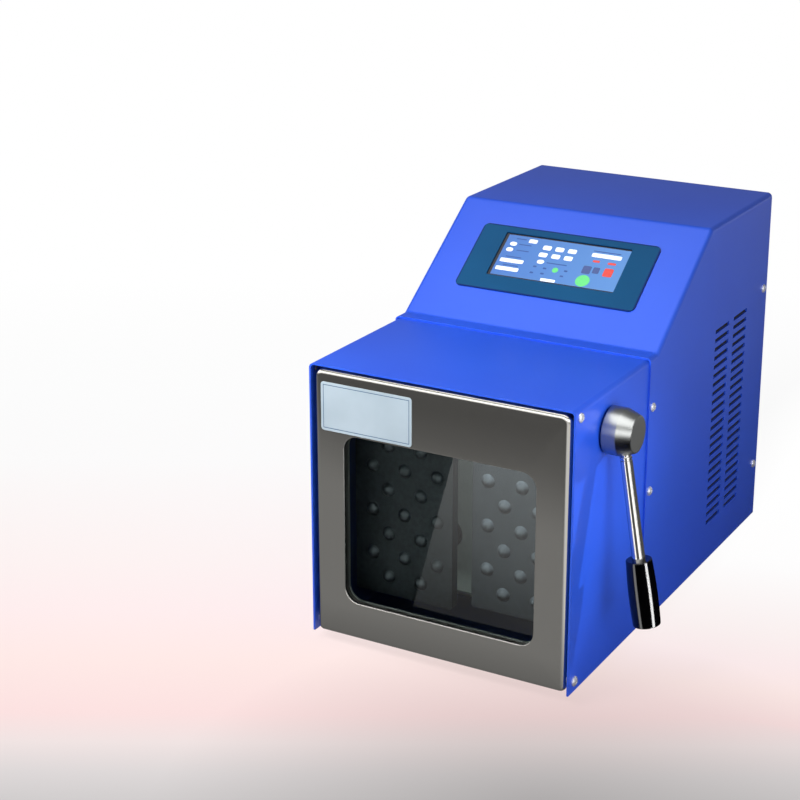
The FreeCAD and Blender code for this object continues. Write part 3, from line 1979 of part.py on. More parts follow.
def make_dust_filters():
    """Foam mats that lie against the inside of the cover, behind the louvres."""
    last_slot = louvre_bottom + (louvre_count - 1) * louvre_pitch + louvre_height
    y = (louvre_columns[0] - filter_margin, louvre_columns[1] + louvre_length + filter_margin)
    z = (louvre_bottom - filter_margin, last_slot + filter_margin)
    return group(
        both_sides(
            lambda side: box(side_pair(side, half_width - filter_thickness, half_width), y, z)
        )
    )


def all_pieces():
    door_panel = make_door_panel()
    return {
        "base_plate": make_base_plate(),
        "front_shell": make_front_shell(),
        "rear_cover": make_rear_cover(),
        "rear_panel": make_rear_panel(),
        "chamber_liner": make_chamber_liner(),
        "front_frame": make_front_frame(),
        "chamber_back": make_chamber_back(),
        "bulkhead": make_bulkhead(),
        "rod_guides": make_rod_guides(),
        "guide_bushes": make_guide_bushes(),
        "rod_seals": make_rod_seals(),
        "door_seal": make_door_seal(),
        "door_panel": door_panel,
        "hinge_blocks": make_hinge_blocks(),
        "hinge_pins": make_hinge_pins(),
        "window_gasket": make_window_gasket(),
        "window_pane": make_window_pane(),
        "door_inner_frame": make_door_inner_frame(),
        "inner_frame_screws": make_inner_frame_screws(),
        "latch_ears": make_latch_ears(),
        "striker_pins": make_striker_pins(),
        "notice_plate": make_notice_plate(),
        "latch_shaft": make_latch_shaft(),
        "latch_bushes": make_latch_bushes(),
        "latch_hooks": make_latch_hooks(),
        "lever_hub": make_lever_hub(),
        "lever_rod": make_lever_rod(),
        "lever_grip": make_lever_grip(),
        "paddle_left": make_paddle(-1),
        "paddle_right": make_paddle(1),
        "push_rods_left": make_push_rods(-1),
        "push_rods_right": make_push_rods(1),
        "yoke_left": make_yoke(-1),
        "yoke_right": make_yoke(1),
        "crankshaft": make_crankshaft(),
        "eccentrics": make_eccentrics(),
        "eccentric_bearings": make_eccentric_bearings(),
        "main_bearing_outers": make_main_bearing_outers(),
        "main_bearing_inners": make_main_bearing_inners(),
        "bearing_pedestals": make_bearing_pedestals(),
        "crank_pulley": make_crank_pulley(),
        "motor_pulley": make_motor_pulley(),
        "drive_belt": make_drive_belt(),
        "motor": make_motor(),
        "motor_shaft": make_motor_shaft(),
        "motor_bracket": make_motor_bracket(),
        "fascia": make_fascia(),
        "display_module": make_display_module(),
        "screen_glass": make_screen_glass(),
        "controller_board": make_controller_board(),
        "fan_frame": make_fan_frame(),
        "fan_impeller": make_fan_impeller(),
        "power_inlet": make_power_inlet(),
        "switch_body": make_switch_body(),
        "switch_rocker": make_switch_rocker(),
        "fuse_holder": make_fuse_holder(),
        "power_supply": make_power_supply(),
        "rubber_feet": make_rubber_feet(),
        "housing_screws": make_housing_screws(),
        "dust_filters": make_dust_filters(),
    }


def main():
    os.makedirs("parts", exist_ok=True)
    pieces = all_pieces()
    bounds = FreeCAD.BoundBox()
    for shape in pieces.values():
        bounds.add(shape.BoundBox)
    middle = bounds.Center
    origin = Vector(round(middle.x, 1), round(middle.y, 1), round(bounds.ZMin, 1))
    print("origin in the housing's own measures", tuple(origin))
    for name, shape in pieces.items():
        moved = shape.copy()
        moved.translate(origin * -1)
        moved.exportStep(os.path.join("parts", name + ".step"))


main()
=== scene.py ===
# %% [markdown]
# A bench paddle blender, dressed for its portrait. The engineering model already holds every
# plate, shaft and screw, so this lesson is about finishes: powder coat, polished and satin steel,
# a turned hub, a lit screen, and the light of a small studio. A few pieces whose smooth curves the
# engineering model can only facet are worked out again here with numpy.

# %% Load the engineering model
import json
import math

import bpy
import numpy as np
from mathutils import Matrix, Vector


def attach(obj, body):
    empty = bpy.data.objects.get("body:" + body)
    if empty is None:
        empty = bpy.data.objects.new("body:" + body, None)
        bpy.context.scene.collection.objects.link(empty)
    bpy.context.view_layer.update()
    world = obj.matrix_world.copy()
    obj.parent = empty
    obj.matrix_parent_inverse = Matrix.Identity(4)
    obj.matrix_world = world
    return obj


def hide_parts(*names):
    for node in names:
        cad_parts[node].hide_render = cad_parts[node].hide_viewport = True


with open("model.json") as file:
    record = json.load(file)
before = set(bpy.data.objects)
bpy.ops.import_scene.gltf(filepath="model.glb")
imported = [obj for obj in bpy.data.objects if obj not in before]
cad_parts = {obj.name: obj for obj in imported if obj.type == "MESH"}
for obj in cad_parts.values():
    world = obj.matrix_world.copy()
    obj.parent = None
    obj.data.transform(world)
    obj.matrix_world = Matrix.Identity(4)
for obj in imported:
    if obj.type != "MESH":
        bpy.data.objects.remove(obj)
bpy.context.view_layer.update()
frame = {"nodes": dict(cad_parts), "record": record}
nodes = frame["nodes"]
slot_of = {part["node"]: part["material_slot"] for part in frame["record"]["subparts"]}
print(len(nodes), "pieces loaded,", len(set(slot_of.values())), "finishes wanted")

# %% [markdown]
# The drawings of the machine count millimetres from the middle of the housing's lower front edge.
# The model counts metres from the middle of the whole machine, on the table. One function goes
# from the first to the second, so many numbers below can be read against a drawing.

# %% Millimetres on the drawing, metres in the model
DRAWING_ORIGIN = np.array([21.2, 198.6, -9.0])


def place(points):
    """Drawing millimetres to model metres: subtract the model's origin, divide by 1000."""
    return (np.asarray(points, float) - DRAWING_ORIGIN) / 1000.0


LEVER_Y, LEVER_Z = 57.0, 190.0
SLOPE_FOOT = np.array([0.0, 144.5, 222.5])
SLOPE_RUN, SLOPE_RISE = 105.5, 74.5
SLOPE_ANGLE = math.atan2(SLOPE_RISE, SLOPE_RUN)
UP_SLOPE = np.array([0.0, math.cos(SLOPE_ANGLE), math.sin(SLOPE_ANGLE)])
OFF_SLOPE = np.array([0.0, -math.sin(SLOPE_ANGLE), math.cos(SLOPE_ANGLE)])
print("the sloped front rises at", round(math.degrees(SLOPE_ANGLE), 1), "degrees")

# %% [markdown]
# Colours are written as the hex values a paint chip would carry. A renderer works with linear
# light, so each value goes through the standard curve once, here. A second helper adds one shader
# node and wires it, and the others name the few kinds of node that every recipe uses.

# %% Helpers for every material
def linear(chip, alpha=1.0):
    """sRGB hex to linear: c / 12.92 below 0.04045, otherwise ((c + 0.055) / 1.055) ** 2.4."""
    parts = np.array([int(chip[k:k + 2], 16) for k in (1, 3, 5)]) / 255.0
    light = np.where(parts <= 0.04045, parts / 12.92, ((parts + 0.055) / 1.055) ** 2.4)
    return (*light.tolist(), alpha)


def add(tree, kind, settings=None, inputs=None):
    """Add one node. Inputs that are another node's output are linked, the rest are values."""
    node = tree.nodes.new(kind)
    for name, value in (settings or {}).items():
        setattr(node, name, value)
    for name, value in (inputs or {}).items():
        if isinstance(value, bpy.types.NodeSocket):
            tree.links.new(value, node.inputs[name])
        else:
            node.inputs[name].default_value = value
    return node


def worked(tree, operation, *values, clamp=False):
    """Output of a Math node. With clamp, it is held between 0 and 1."""
    settings = {"operation": operation, "use_clamp": clamp}
    return add(tree, "ShaderNodeMath", settings, dict(enumerate(values))).outputs[0]


def vector_worked(tree, operation, *values):
    """Output of a Vector Math node: a number for lengths and products, otherwise a vector."""
    node = add(tree, "ShaderNodeVectorMath", {"operation": operation}, dict(enumerate(values)))
    is_number = operation in ("DOT_PRODUCT", "DISTANCE", "LENGTH")
    return node.outputs["Value" if is_number else "Vector"]


def mapped(tree, value, start, end, low=0.0, high=1.0):
    """A value spread from start..end to low..high, and held at either end."""
    inputs = {"Value": value, 1: start, 2: end, 3: low, 4: high}
    return add(tree, "ShaderNodeMapRange", inputs=inputs).outputs[0]


def blend(tree, share, first, second):
    """Two numbers mixed: first * (1 - share) + second * share."""
    return add(tree, "ShaderNodeMix", inputs={0: share, 2: first, 3: second}).outputs[0]


def mixed(tree, share, first, second, how="MIX"):
    """Two colours mixed by a share, or with another blend type."""
    return add(tree, "ShaderNodeMix", {"data_type": "RGBA", "blend_type": how},
               {0: share, 6: first, 7: second}).outputs[2]


def noise(tree, where, scale, detail):
    """Noise between 0 and 1, with the given number of waves in a metre."""
    inputs = {"Vector": where, "Scale": scale, "Detail": detail}
    return add(tree, "ShaderNodeTexNoise", inputs=inputs).outputs[0]


def object_place(tree):
    """Places in the object's own coordinates, in metres."""
    return add(tree, "ShaderNodeTexCoord").outputs["Object"]


def bare_tree(owner):
    """The node tree of a material or world, switched on and emptied."""
    owner.use_nodes = True
    owner.node_tree.nodes.clear()
    return owner.node_tree


def new_material(name, inputs):
    """A material with one Principled shader, whose sockets take the given values."""
    material = bpy.data.materials.new(name)
    tree = bare_tree(material)
    shader = add(tree, "ShaderNodeBsdfPrincipled", inputs=inputs)
    add(tree, "ShaderNodeOutputMaterial", inputs={"Surface": shader.outputs["BSDF"]})
    return material, tree, shader, object_place(tree)


def in_scene(name, data):
    """An object with the given data, linked to the scene."""
    item = bpy.data.objects.new(name, data)
    bpy.context.scene.collection.objects.link(item)
    return item


def mesh_in_scene(name, points, faces):
    """An object with a new mesh."""
    mesh = bpy.data.meshes.new(name)
    mesh.from_pydata(points, [], faces)
    return in_scene(name, mesh)


FINISHES = {}
print("red chip becomes", [round(v, 3) for v in linear("#e0453a")])

# %% [markdown]
# The photograph was taken with a short telephoto lens from the right of the machine and a little
# above it. The camera's turn is built from two angles and a slight roll, and the lens shift puts
# the machine right of the middle, as in the photograph.

# %% Camera
FOCAL_LENGTH, SENSOR_WIDTH = 82.9, 36.0
LENS_SHIFT = (-0.0659, -0.08625)
CAMERA_AT = (605.2, -1097.9, 660.9)
AZIMUTH, ELEVATION, ROLL = 28.38, 17.61, 0.43


def turned_camera(azimuth, elevation, roll):
    """Columns of the turn matrix: right, up and back, from the direction the camera looks from."""
    az, el, tilt = np.radians([azimuth, elevation, roll])
    back = np.array([np.sin(az) * np.cos(el), -np.cos(az) * np.cos(el), np.sin(el)])
    right = np.array([np.cos(az), np.sin(az), 0.0])
    up = np.cross(back, right)
    level = right * np.cos(tilt) + up * np.sin(tilt)
    lean = up * np.cos(tilt) - right * np.sin(tilt)
    return Matrix(np.column_stack([level, lean, back]).tolist())


camera = in_scene("camera", bpy.data.cameras.new("camera"))
camera.data.lens, camera.data.sensor_width = FOCAL_LENGTH, SENSOR_WIDTH
camera.data.shift_x, camera.data.shift_y = LENS_SHIFT
turn = turned_camera(AZIMUTH, ELEVATION, ROLL)
camera.matrix_world = Matrix.Translation(place(CAMERA_AT)) @ turn.to_4x4()
bpy.context.scene.camera = camera
bpy.context.scene.view_settings.view_transform = "Standard"
print("camera stands", round(camera.location.length, 2), "m from the origin")

# %% [markdown]
# The machine stands on a seamless pale sheet. The sheet's colour runs through tones along one
# heading that leads away from the camera: nearly white, then grey, then a warm pale pink in front
# of the machine, then white. On the machine's right the tones shift towards white from front to
# back and more of the sheet glows: painted light over the machine's shadow on that side. A duller
# patch before its right front corner is a painted shadow. Part of the sheet's brightness is given
# off to the camera, to glass and to metal, so it stays pale without more lamps. The rest is lit,
# so the machine's shadow stays.

# %% Floor
FLOOR_REACH = 24.0
AWAY = (-0.475, 0.88, 0.0)
TONES_FROM, TONES_TO = -1.0, 0.46
FLOOR_TONES = [(0.0, "#f8f6f5"), (0.28, "#e2dedd"), (0.43, "#c7c5c5"), (0.472, "#dcd7d7"),
               (0.5, "#eee2e1"), (0.528, "#f9e0df"), (0.584, "#fce8e5"), (0.641, "#fdeded"),
               (0.708, "#fdf3f2"), (0.865, "#fefdfd"), (1.0, "#ffffff")]
BESIDE_FROM, BESIDE_TO = 0.0, 0.1
# Painted light: on the machine's right the tones are lifted towards white from front to back, over
# its shadow there.
PAINTED_LIGHT_FROM, PAINTED_LIGHT_TO, PAINTED_LIGHT_LIFT = -0.156, 0.144, 0.27
# Painted shadow: a duller patch on the sheet before the machine's right front corner.
PAINTED_SHADOW_AT, PAINTED_SHADOW_REACH, PAINTED_SHADOW_LEVEL = (0.13, -0.33, 0.0), 0.26, 0.66
SHARE_FROM, SHARE_TO = -0.3, 0.9
# The extra glow share beside the machine is painted light, so the shade on its right barely shows.
NEAR_SHARE, FAR_SHARE, BESIDE_PAINTED_LIGHT_SHARE = 0.84, 1.0, 0.08


def on_table(low, high, height=0.0008):
    """Corners of a rectangle lying level, by default just over the table."""
    return [(low[0], low[1], height), (high[0], low[1], height),
            (high[0], high[1], height), (low[0], high[1], height)]


def ramp(tree, value, stops):
    """Colours or grey levels at stated spots from 0 to 1, straight lines between them."""
    node = add(tree, "ShaderNodeValToRGB", inputs={0: value})
    steps = node.color_ramp.elements
    colours = [linear(tone) if isinstance(tone, str) else (tone, tone, tone, 1.0)
               for _, tone in stops]
    steps[0].position, steps[0].color = stops[0][0], colours[0]
    steps[1].position, steps[1].color = stops[-1][0], colours[-1]
    for (spot, _), colour in zip(stops[1:-1], colours[1:-1]):
        steps.new(spot).color = colour
    return node.outputs[0]


def seen_directly(tree):
    """1 for rays from the camera, off a mirror or through glass, 0 for the rest."""
    path = add(tree, "ShaderNodeLightPath").outputs
    some = worked(tree, "ADD", path["Is Camera Ray"], path["Is Glossy Ray"], clamp=True)
    return worked(tree, "ADD", some, path["Is Transmission Ray"], clamp=True)


floor = mesh_in_scene(
    "floor", on_table((-FLOOR_REACH, -FLOOR_REACH), (FLOOR_REACH, FLOOR_REACH), 0.0),
    [(0, 1, 2, 3)])
paper = bpy.data.materials.new("seamless_paper_floor")
tree = bare_tree(paper)
where = object_place(tree)
apart = add(tree, "ShaderNodeSeparateXYZ", inputs={0: where})
beside = mapped(tree, apart.outputs[0], BESIDE_FROM, BESIDE_TO)
# Painted light: on the right the position along the heading is lifted, so the tones run whiter.
painted_light_lift = mapped(tree, apart.outputs[1], PAINTED_LIGHT_FROM, PAINTED_LIGHT_TO, 0.0, PAINTED_LIGHT_LIFT)
raised = worked(tree, "MULTIPLY_ADD", beside, painted_light_lift, vector_worked(tree, "DOT_PRODUCT", where, AWAY))
tone = ramp(tree, mapped(tree, raised, TONES_FROM, TONES_TO), FLOOR_TONES)
# The painted shadow: tones dimmed near a spot before the right front corner, least at its middle.
from_painted_shadow = vector_worked(tree, "DISTANCE", where, PAINTED_SHADOW_AT)
painted_shadow = mapped(tree, from_painted_shadow, 0.0, PAINTED_SHADOW_REACH, PAINTED_SHADOW_LEVEL, 1.0)
tone_and_painted_shadow = add(tree, "ShaderNodeVectorMath", {"operation": "SCALE"}, {0: tone, "Scale": painted_shadow})
lit = add(tree, "ShaderNodeBsdfDiffuse", inputs={"Color": tone_and_painted_shadow.outputs[0], "Roughness": 1.0})
own = add(tree, "ShaderNodeEmission", inputs={"Color": tone_and_painted_shadow.outputs[0], "Strength": 1.0})
# More glow beside the machine: painted light over its shadow on the right.
own_share = worked(tree, "MULTIPLY_ADD", beside, BESIDE_PAINTED_LIGHT_SHARE,
                   mapped(tree, raised, SHARE_FROM, SHARE_TO, NEAR_SHARE, FAR_SHARE), clamp=True)
share = worked(tree, "MULTIPLY", seen_directly(tree), own_share)
both = add(tree, "ShaderNodeMixShader", inputs={0: share, 1: lit.outputs[0], 2: own.outputs[0]})
add(tree, "ShaderNodeOutputMaterial", inputs={"Surface": both.outputs[0]})
floor.data.materials.append(paper)
print("floor ready")

# %% [markdown]
# The camera sees a white sky, and the sky's own light on dull surfaces is a low fill. What polished
# metal and gloss paint mirror is arranged like a studio's black tent. In front there is a bright
# strip low down, a dark band above it and a bright panel overhead. To the sides it is dim up to the
# same panel, and behind the machine it is evenly dark. The strips give rolled edges their bright
# and dark lines. The sky's ramps run with how high a ray points.

# %% Sky
FRONT_SKY = [(0.0, 0.3), (0.1, 0.8), (0.4, 0.8), (0.5, 0.1), (0.66, 0.04), (0.74, 0.8), (1.0, 0.8)]
SIDE_SKY = [(0.0, 0.065), (0.36, 0.065), (0.55, 0.05), (0.8, 0.05), (0.86, 0.8), (1.0, 0.8)]
SIDE_FROM, SIDE_TO, REAR_TO = -0.3, 0.1, 0.2
REAR_LEVEL = 0.06
MIRRORED_GAIN = 4.0
FILL_LEVEL = 0.18

world = bpy.data.worlds.new("white_studio")
bpy.context.scene.world = world
tree = bare_tree(world)
ray = add(tree, "ShaderNodeTexCoord").outputs["Generated"]
heading = add(tree, "ShaderNodeSeparateXYZ", inputs={0: ray})
front_sky = ramp(tree, heading.outputs["Z"], FRONT_SKY)
side_sky = ramp(tree, heading.outputs["Z"], SIDE_SKY)
to_side = mapped(tree, heading.outputs["Y"], SIDE_FROM, SIDE_TO)
to_rear = mapped(tree, heading.outputs["Y"], SIDE_TO, REAR_TO)
level = blend(tree, to_rear, blend(tree, to_side, front_sky, side_sky), REAR_LEVEL)
path = add(tree, "ShaderNodeLightPath").outputs
mirrored = worked(tree, "MULTIPLY", level, MIRRORED_GAIN)
fill = blend(tree, path["Is Glossy Ray"], FILL_LEVEL, mirrored)
strength = blend(tree, path["Is Camera Ray"], fill, 1.0)
sky = add(tree, "ShaderNodeBackground", inputs={"Color": linear("#ffffff"), "Strength": strength})
add(tree, "ShaderNodeOutputWorld", inputs={"Surface": sky.outputs[0]})
print("sky ready")

# %% [markdown]
# Below the horizon the same surfaces mirror the table. Cloths and cards lie just over it, met only
# by mirror-like rays: in front of the door a grey cloth that darkens away from the machine, along
# the right side a dark one that lightens away from it, and a bright one at the corner between the
# two. Their brightness is a ramp along one direction.

# %% Cloths and cards, seen only in reflections
TENT_REACH = 2.4
CLOTH_X, CLOTH_Y = 0.087, -0.2
FRONT_Y = -0.19
FRONT_SPAN, SIDE_SPAN = (0.2, 1.2), (CLOTH_X, CLOTH_X + 1.0)
FRONT_CLOTH = [(0.0, 0.24), (0.06, 0.36), (0.28, 0.36), (0.42, 0.2), (0.6, 0.14), (1.0, 0.2)]
SIDE_CLOTH = [(0.0, 0.08), (0.15, 0.1), (0.21, 0.3), (0.5, 0.34), (1.0, 0.5)]
CORNER_CLOTH = [(0.0, 0.3), (0.1, 1.0), (0.6, 1.0), (1.0, 0.4)]


def tent_piece(name, points, direction, span, stops, strength=1.0):
    """A flat staged face whose glow follows a ramp of (position . direction) over a span."""
    cloth = mesh_in_scene(name, points, [tuple(range(len(points)))])
    material = bpy.data.materials.new(name + "_felt")
    tree = bare_tree(material)
    along = mapped(tree, vector_worked(tree, "DOT_PRODUCT", object_place(tree), direction), *span)
    glow = add(tree, "ShaderNodeEmission",
               inputs={"Color": ramp(tree, along, stops), "Strength": strength})
    add(tree, "ShaderNodeOutputMaterial", inputs={"Surface": glow.outputs[0]})
    cloth.data.materials.append(material)
    for kind in ("camera", "diffuse", "shadow", "transmission", "volume_scatter"):
        setattr(cloth, "visible_" + kind, False)
    return cloth


front_cloth = tent_piece("front_cloth", on_table((-TENT_REACH, -TENT_REACH), (CLOTH_X, FRONT_Y)),
                         (0, -1, 0), FRONT_SPAN, FRONT_CLOTH)
side_cloth = tent_piece("side_cloth", on_table((CLOTH_X, CLOTH_Y), (TENT_REACH, TENT_REACH)),
                        (1, 0, 0), SIDE_SPAN, SIDE_CLOTH)
corner_cloth = tent_piece("corner_cloth", on_table((CLOTH_X, -TENT_REACH), (TENT_REACH, CLOTH_Y)),
                          (1, 0, 0), SIDE_SPAN, CORNER_CLOTH, 1.2)
print("tent ready")

# %% [markdown]
# Lamps light what is dull, and nothing mirrors them. The key stands close in front and above, so
# the sloped front is the brightest face and the top behind it falls off. Three soft ones on the
# right make the side fade from its upper front corner to the back: one close by, one low and one
# behind. A narrow spot from further behind throws the lever's shadow forward along the side. Only
# the key reaches the floor.

# %% Lamps
SIDE_MIDDLE = (0.087, -0.1, 0.15)


def lamp_at(name, kind, at, towards, power, **settings):
    """A lamp of the given kind at one point, turned so that it faces another."""
    lamp = bpy.data.lights.new(name, kind)
    lamp.energy = power
    for setting, value in settings.items():
        setattr(lamp, setting, value)
    holder = in_scene(name, lamp)
    aim = (Vector(towards) - Vector(at)).to_track_quat("-Z", "Y")
    holder.matrix_world = Matrix.Translation(at) @ aim.to_matrix().to_4x4()
    holder.visible_camera = False
    holder.visible_glossy = False
    return holder


def linked(items, state):
    """A light-linking collection in which the objects are included or left out."""
    group = bpy.data.collections.new(items[0].name + "_" + state.lower())
    for item in items:
        group.objects.link(item)
    for entry in group.collection_objects:
        entry.light_linking.link_state = state
    return group


key = lamp_at("key_lamp", "AREA", (-0.20, -0.59, 0.63), (-0.03, 0.0, 0.2), 5.6, size=0.3)
near = lamp_at("near_lamp", "AREA", (0.19, -0.20, 0.24), SIDE_MIDDLE, 0.10, size=0.1)
low = lamp_at("low_lamp", "AREA", (0.40, -0.20, 0.10), SIDE_MIDDLE, 0.36, size=0.2)
rear = lamp_at("rear_lamp", "AREA", (0.40, 0.10, 0.33), SIDE_MIDDLE, 0.23, size=0.3)
spot = lamp_at("back_spot", "SPOT", (0.80, 1.25, 0.50), (0.09, -0.25, 0.11), 105.0,
               spot_size=math.radians(8.0), spot_blend=0.95, shadow_soft_size=0.02)
off_floor = linked([floor], "EXCLUDE")
for lamp in (near, low, rear, spot):
    lamp.light_linking.receiver_collection = off_floor
print("lamps:", [lamp.name for lamp in (key, near, low, rear, spot)])

# %% [markdown]
# Powder coat is a baked polyester skin on folded sheet. It is satin rather than glossy, because
# the powder flows out into a very shallow "orange peel" of ripples about 1.5 mm apart. The
# colour is even, with a faint clouding from one part of a sheet to the next. Sheet edges and folds
# get a small rounded look from a bevel on the shading. Inside the chamber the same blue is darker,
# a painted shade for the dim chamber.

# %% Powder coat
def soft_edges(tree, radius):
    """Shading normal rounded over edges, as if they had the given radius in metres."""
    return add(tree, "ShaderNodeBevel", {"samples": 4}, {"Radius": radius}).outputs[0]


def bumped(tree, shader, height, strength, distance, edge):
    """Wire a bump over softened edges into the shader's normal."""
    bump = add(tree, "ShaderNodeBump", inputs={
        "Strength": strength, "Distance": distance, "Height": height,
        "Normal": soft_edges(tree, edge)})
    tree.links.new(bump.outputs[0], shader.inputs["Normal"])


def clouded(tree, where, scale, low, high, chips):
    """Noise of the given scale spread between two colours."""
    share = mapped(tree, noise(tree, where, scale, 3.0), low, high)
    return mixed(tree, share, linear(chips[0]), linear(chips[1]))


paint, tree, shader, where = new_material("powder_coated_steel_blue", {
    "Roughness": 0.34, "Specular IOR Level": 0.5})
colour = clouded(tree, where, 9.0, 0.3, 0.7, ("#2556dd", "#285ce3"))
tree.links.new(colour, shader.inputs["Base Color"])
bumped(tree, shader, noise(tree, where, 650.0, 2.0), 0.12, 0.0002, 0.0005)
FINISHES["blue_paint"] = paint

# Painted shade: the same blue powder coat, darker, for the inside of the chamber where little light
# falls.
painted_shade_blue, tree, shader, where = new_material("powder_coated_steel_blue_painted_shade", {
    "Roughness": 0.5})
colour = clouded(tree, where, 9.0, 0.3, 0.7, ("#102a66", "#122e70"))
tree.links.new(colour, shader.inputs["Base Color"])
print(paint.name, painted_shade_blue.name)

# %% [markdown]
# The door is stainless sheet, polished until it mirrors the table softly. Long faint streaks from
# the polishing belt run across it and change its gloss a little, and its rolled edges catch
# bright lines from the sky.

# %% Polished stainless
def belt_marks(tree, where, stretch, scale, low, high):
    """Streaks: noise squeezed along the axes by a stretch, spread between two values."""
    squeezed = add(tree, "ShaderNodeMapping", inputs={"Vector": where, "Scale": stretch})
    return mapped(tree, noise(tree, squeezed.outputs[0], scale, 4.0), 0.3, 0.7, low, high)


polished, tree, shader, where = new_material("polished_stainless_sheet", {
    "Base Color": linear("#b0aea9"), "Metallic": 1.0})
gloss = belt_marks(tree, where, (1.0, 6.0, 12.0), 60.0, 0.07, 0.12)
tree.links.new(gloss, shader.inputs["Roughness"])
streak = belt_marks(tree, where, (1.0, 8.0, 25.0), 90.0, 0.0, 1.0)
bumped(tree, shader, streak, 0.03, 0.0002, 0.0013)
FINISHES["polished_stainless"] = polished
print(polished.name)

# %% [markdown]
# The same steel in plainer states: satin sheet at the hinges and inside the door, ground bar,
# bright screws and hard bearings. They share one recipe: a grey, a gloss, and streaks at a stated
# spacing.

# %% Plain metals
def streaked_metal(name, chip, gloss, stretch, scale, edge=0.0004, metallic=1.0):
    """Metal whose roughness varies between the two gloss values along streaks."""
    material, tree, shader, where = new_material(
        name, {"Base Color": linear(chip), "Metallic": metallic})
    tree.links.new(belt_marks(tree, where, stretch, scale, *gloss), shader.inputs["Roughness"])
    tree.links.new(soft_edges(tree, edge), shader.inputs["Normal"])
    return material


FINISHES["stainless"] = streaked_metal(
    "satin_stainless_sheet", "#a7aaa6", (0.34, 0.46), (1.0, 1.0, 14.0), 90.0)
FINISHES["ground_steel"] = streaked_metal(
    "ground_steel_bar", "#b9b9b7", (0.22, 0.34), (14.0, 1.0, 1.0), 150.0)
FINISHES["fastener_steel"] = streaked_metal(
    "bright_stainless_fastener", "#e6e8ee", (0.2, 0.3), (1.0, 1.0, 1.0), 900.0, 0.0003, 0.6)
FINISHES["bearing_steel"] = streaked_metal(
    "hardened_bearing_steel", "#bdbdbd", (0.14, 0.22), (1.0, 1.0, 1.0), 500.0)
print("plain metals ready")

# %% Zinc, castings and bronze
def grained_metal(name, chips, gloss, scale, height, metallic=1.0):
    """Metal with a grain: colour and bump from noises set by the given scale."""
    material, tree, shader, where = new_material(name, {"Metallic": metallic, "Roughness": gloss})
    colour = clouded(tree, where, scale / 3.0, 0.35, 0.65, chips)
    tree.links.new(colour, shader.inputs["Base Color"])
    bumped(tree, shader, noise(tree, where, scale, 4.0), height, 0.0003, 0.0005)
    return material


FINISHES["plain_steel"] = grained_metal(
    "zinc_plated_steel_sheet", ("#9a9ea1", "#b3b6b8"), 0.42, 160.0, 0.05)
FINISHES["cast_grey"] = grained_metal(
    "sand_cast_iron_grey", ("#4a4b4d", "#58595b"), 0.6, 700.0, 0.35, 0.6)
FINISHES["bronze"] = grained_metal(
    "sintered_bronze", ("#a9803f", "#8a6530"), 0.45, 900.0, 0.2)
print("castings and bushes ready")

# %% [markdown]
# The lever's hub is turned from aluminium bar: the tool leaves rings 0.7 mm apart on its faces.
# The rings are circles round the hub's own axis, so the pattern measures the distance from that
# axis in the plane across it. The other aluminium pieces share the recipe.

# %% Turned aluminium
RING_PITCH = 0.0007


def distance_from_axis(tree, where, centre):
    """Distance in the Y-Z plane from an axis that runs along X."""
    moved = vector_worked(tree, "SUBTRACT", where, centre)
    return vector_worked(tree, "LENGTH", vector_worked(tree, "MULTIPLY", moved, (0, 1, 1)))


turned_metal, tree, shader, where = new_material("turned_aluminium", {
    "Base Color": linear("#9c9e9d"), "Metallic": 1.0, "Roughness": 0.32})
reach = distance_from_axis(tree, where, tuple(place((0.0, LEVER_Y, LEVER_Z))))
rings = worked(tree, "SINE", worked(tree, "MULTIPLY", reach, 2 * math.pi / RING_PITCH))
bumped(tree, shader, rings, 0.12, 0.0001, 0.0008)
FINISHES["machined_aluminium"] = turned_metal
print(turned_metal.name)

# %% Bright bar for the lever and push rods
chromed, tree, shader, where = new_material("hard_chromed_bar", {
    "Base Color": linear("#d2d0cc"), "Metallic": 1.0})
gloss = belt_marks(tree, where, (1.0, 1.0, 1.0), 200.0, 0.1, 0.16)
tree.links.new(gloss, shader.inputs["Roughness"])
FINISHES["chromed_rod"] = chromed
print(chromed.name)

# %% [markdown]
# Plastics and rubber. The grip is moulded phenolic, jet black and glossy. Other mouldings are
# matt with a fine spark-eroded grain. Rubber is rougher still, and the filter foam behind the
# louvres swallows nearly all light.

# %% Plastics, rubber and foam
def moulded(name, chip, gloss, scale, height):
    """Moulded plastic or rubber: even colour, grain as bump, gloss varied by a tenth."""
    material, tree, shader, where = new_material(name, {"Base Color": linear(chip)})
    grain = noise(tree, where, scale, 3.0)
    roughness = mapped(tree, grain, 0.3, 0.7, gloss * 0.9, gloss * 1.1)
    tree.links.new(roughness, shader.inputs["Roughness"])
    bumped(tree, shader, grain, height, 0.0002, 0.0006)
    return material


FINISHES["black_gloss"] = moulded("moulded_phenolic_black", "#030304", 0.09, 120.0, 0.01)
FINISHES["black_plastic"] = moulded("moulded_abs_black", "#17181a", 0.5, 1400.0, 0.25)
FINISHES["black_rubber"] = moulded("moulded_rubber_black", "#0b0b0b", 0.85, 900.0, 0.3)
FINISHES["black_foam"] = moulded("open_cell_foam_black", "#0b0b10", 0.95, 1100.0, 1.0)
FINISHES["dark_frame"] = moulded("baked_enamel_dark", "#0d1020", 0.35, 600.0, 0.05)
FINISHES["green_board"] = moulded("glass_epoxy_board_green", "#14502c", 0.35, 500.0, 0.1)
print("plastics ready")

# %% [markdown]
# The paddles are bead-blasted steel: no direction to the grain, a dull sheen. Their dark grey is
# partly the steel's own and partly painted shade of the dim chamber. The sheet behind them is
# blasted too, and paler.

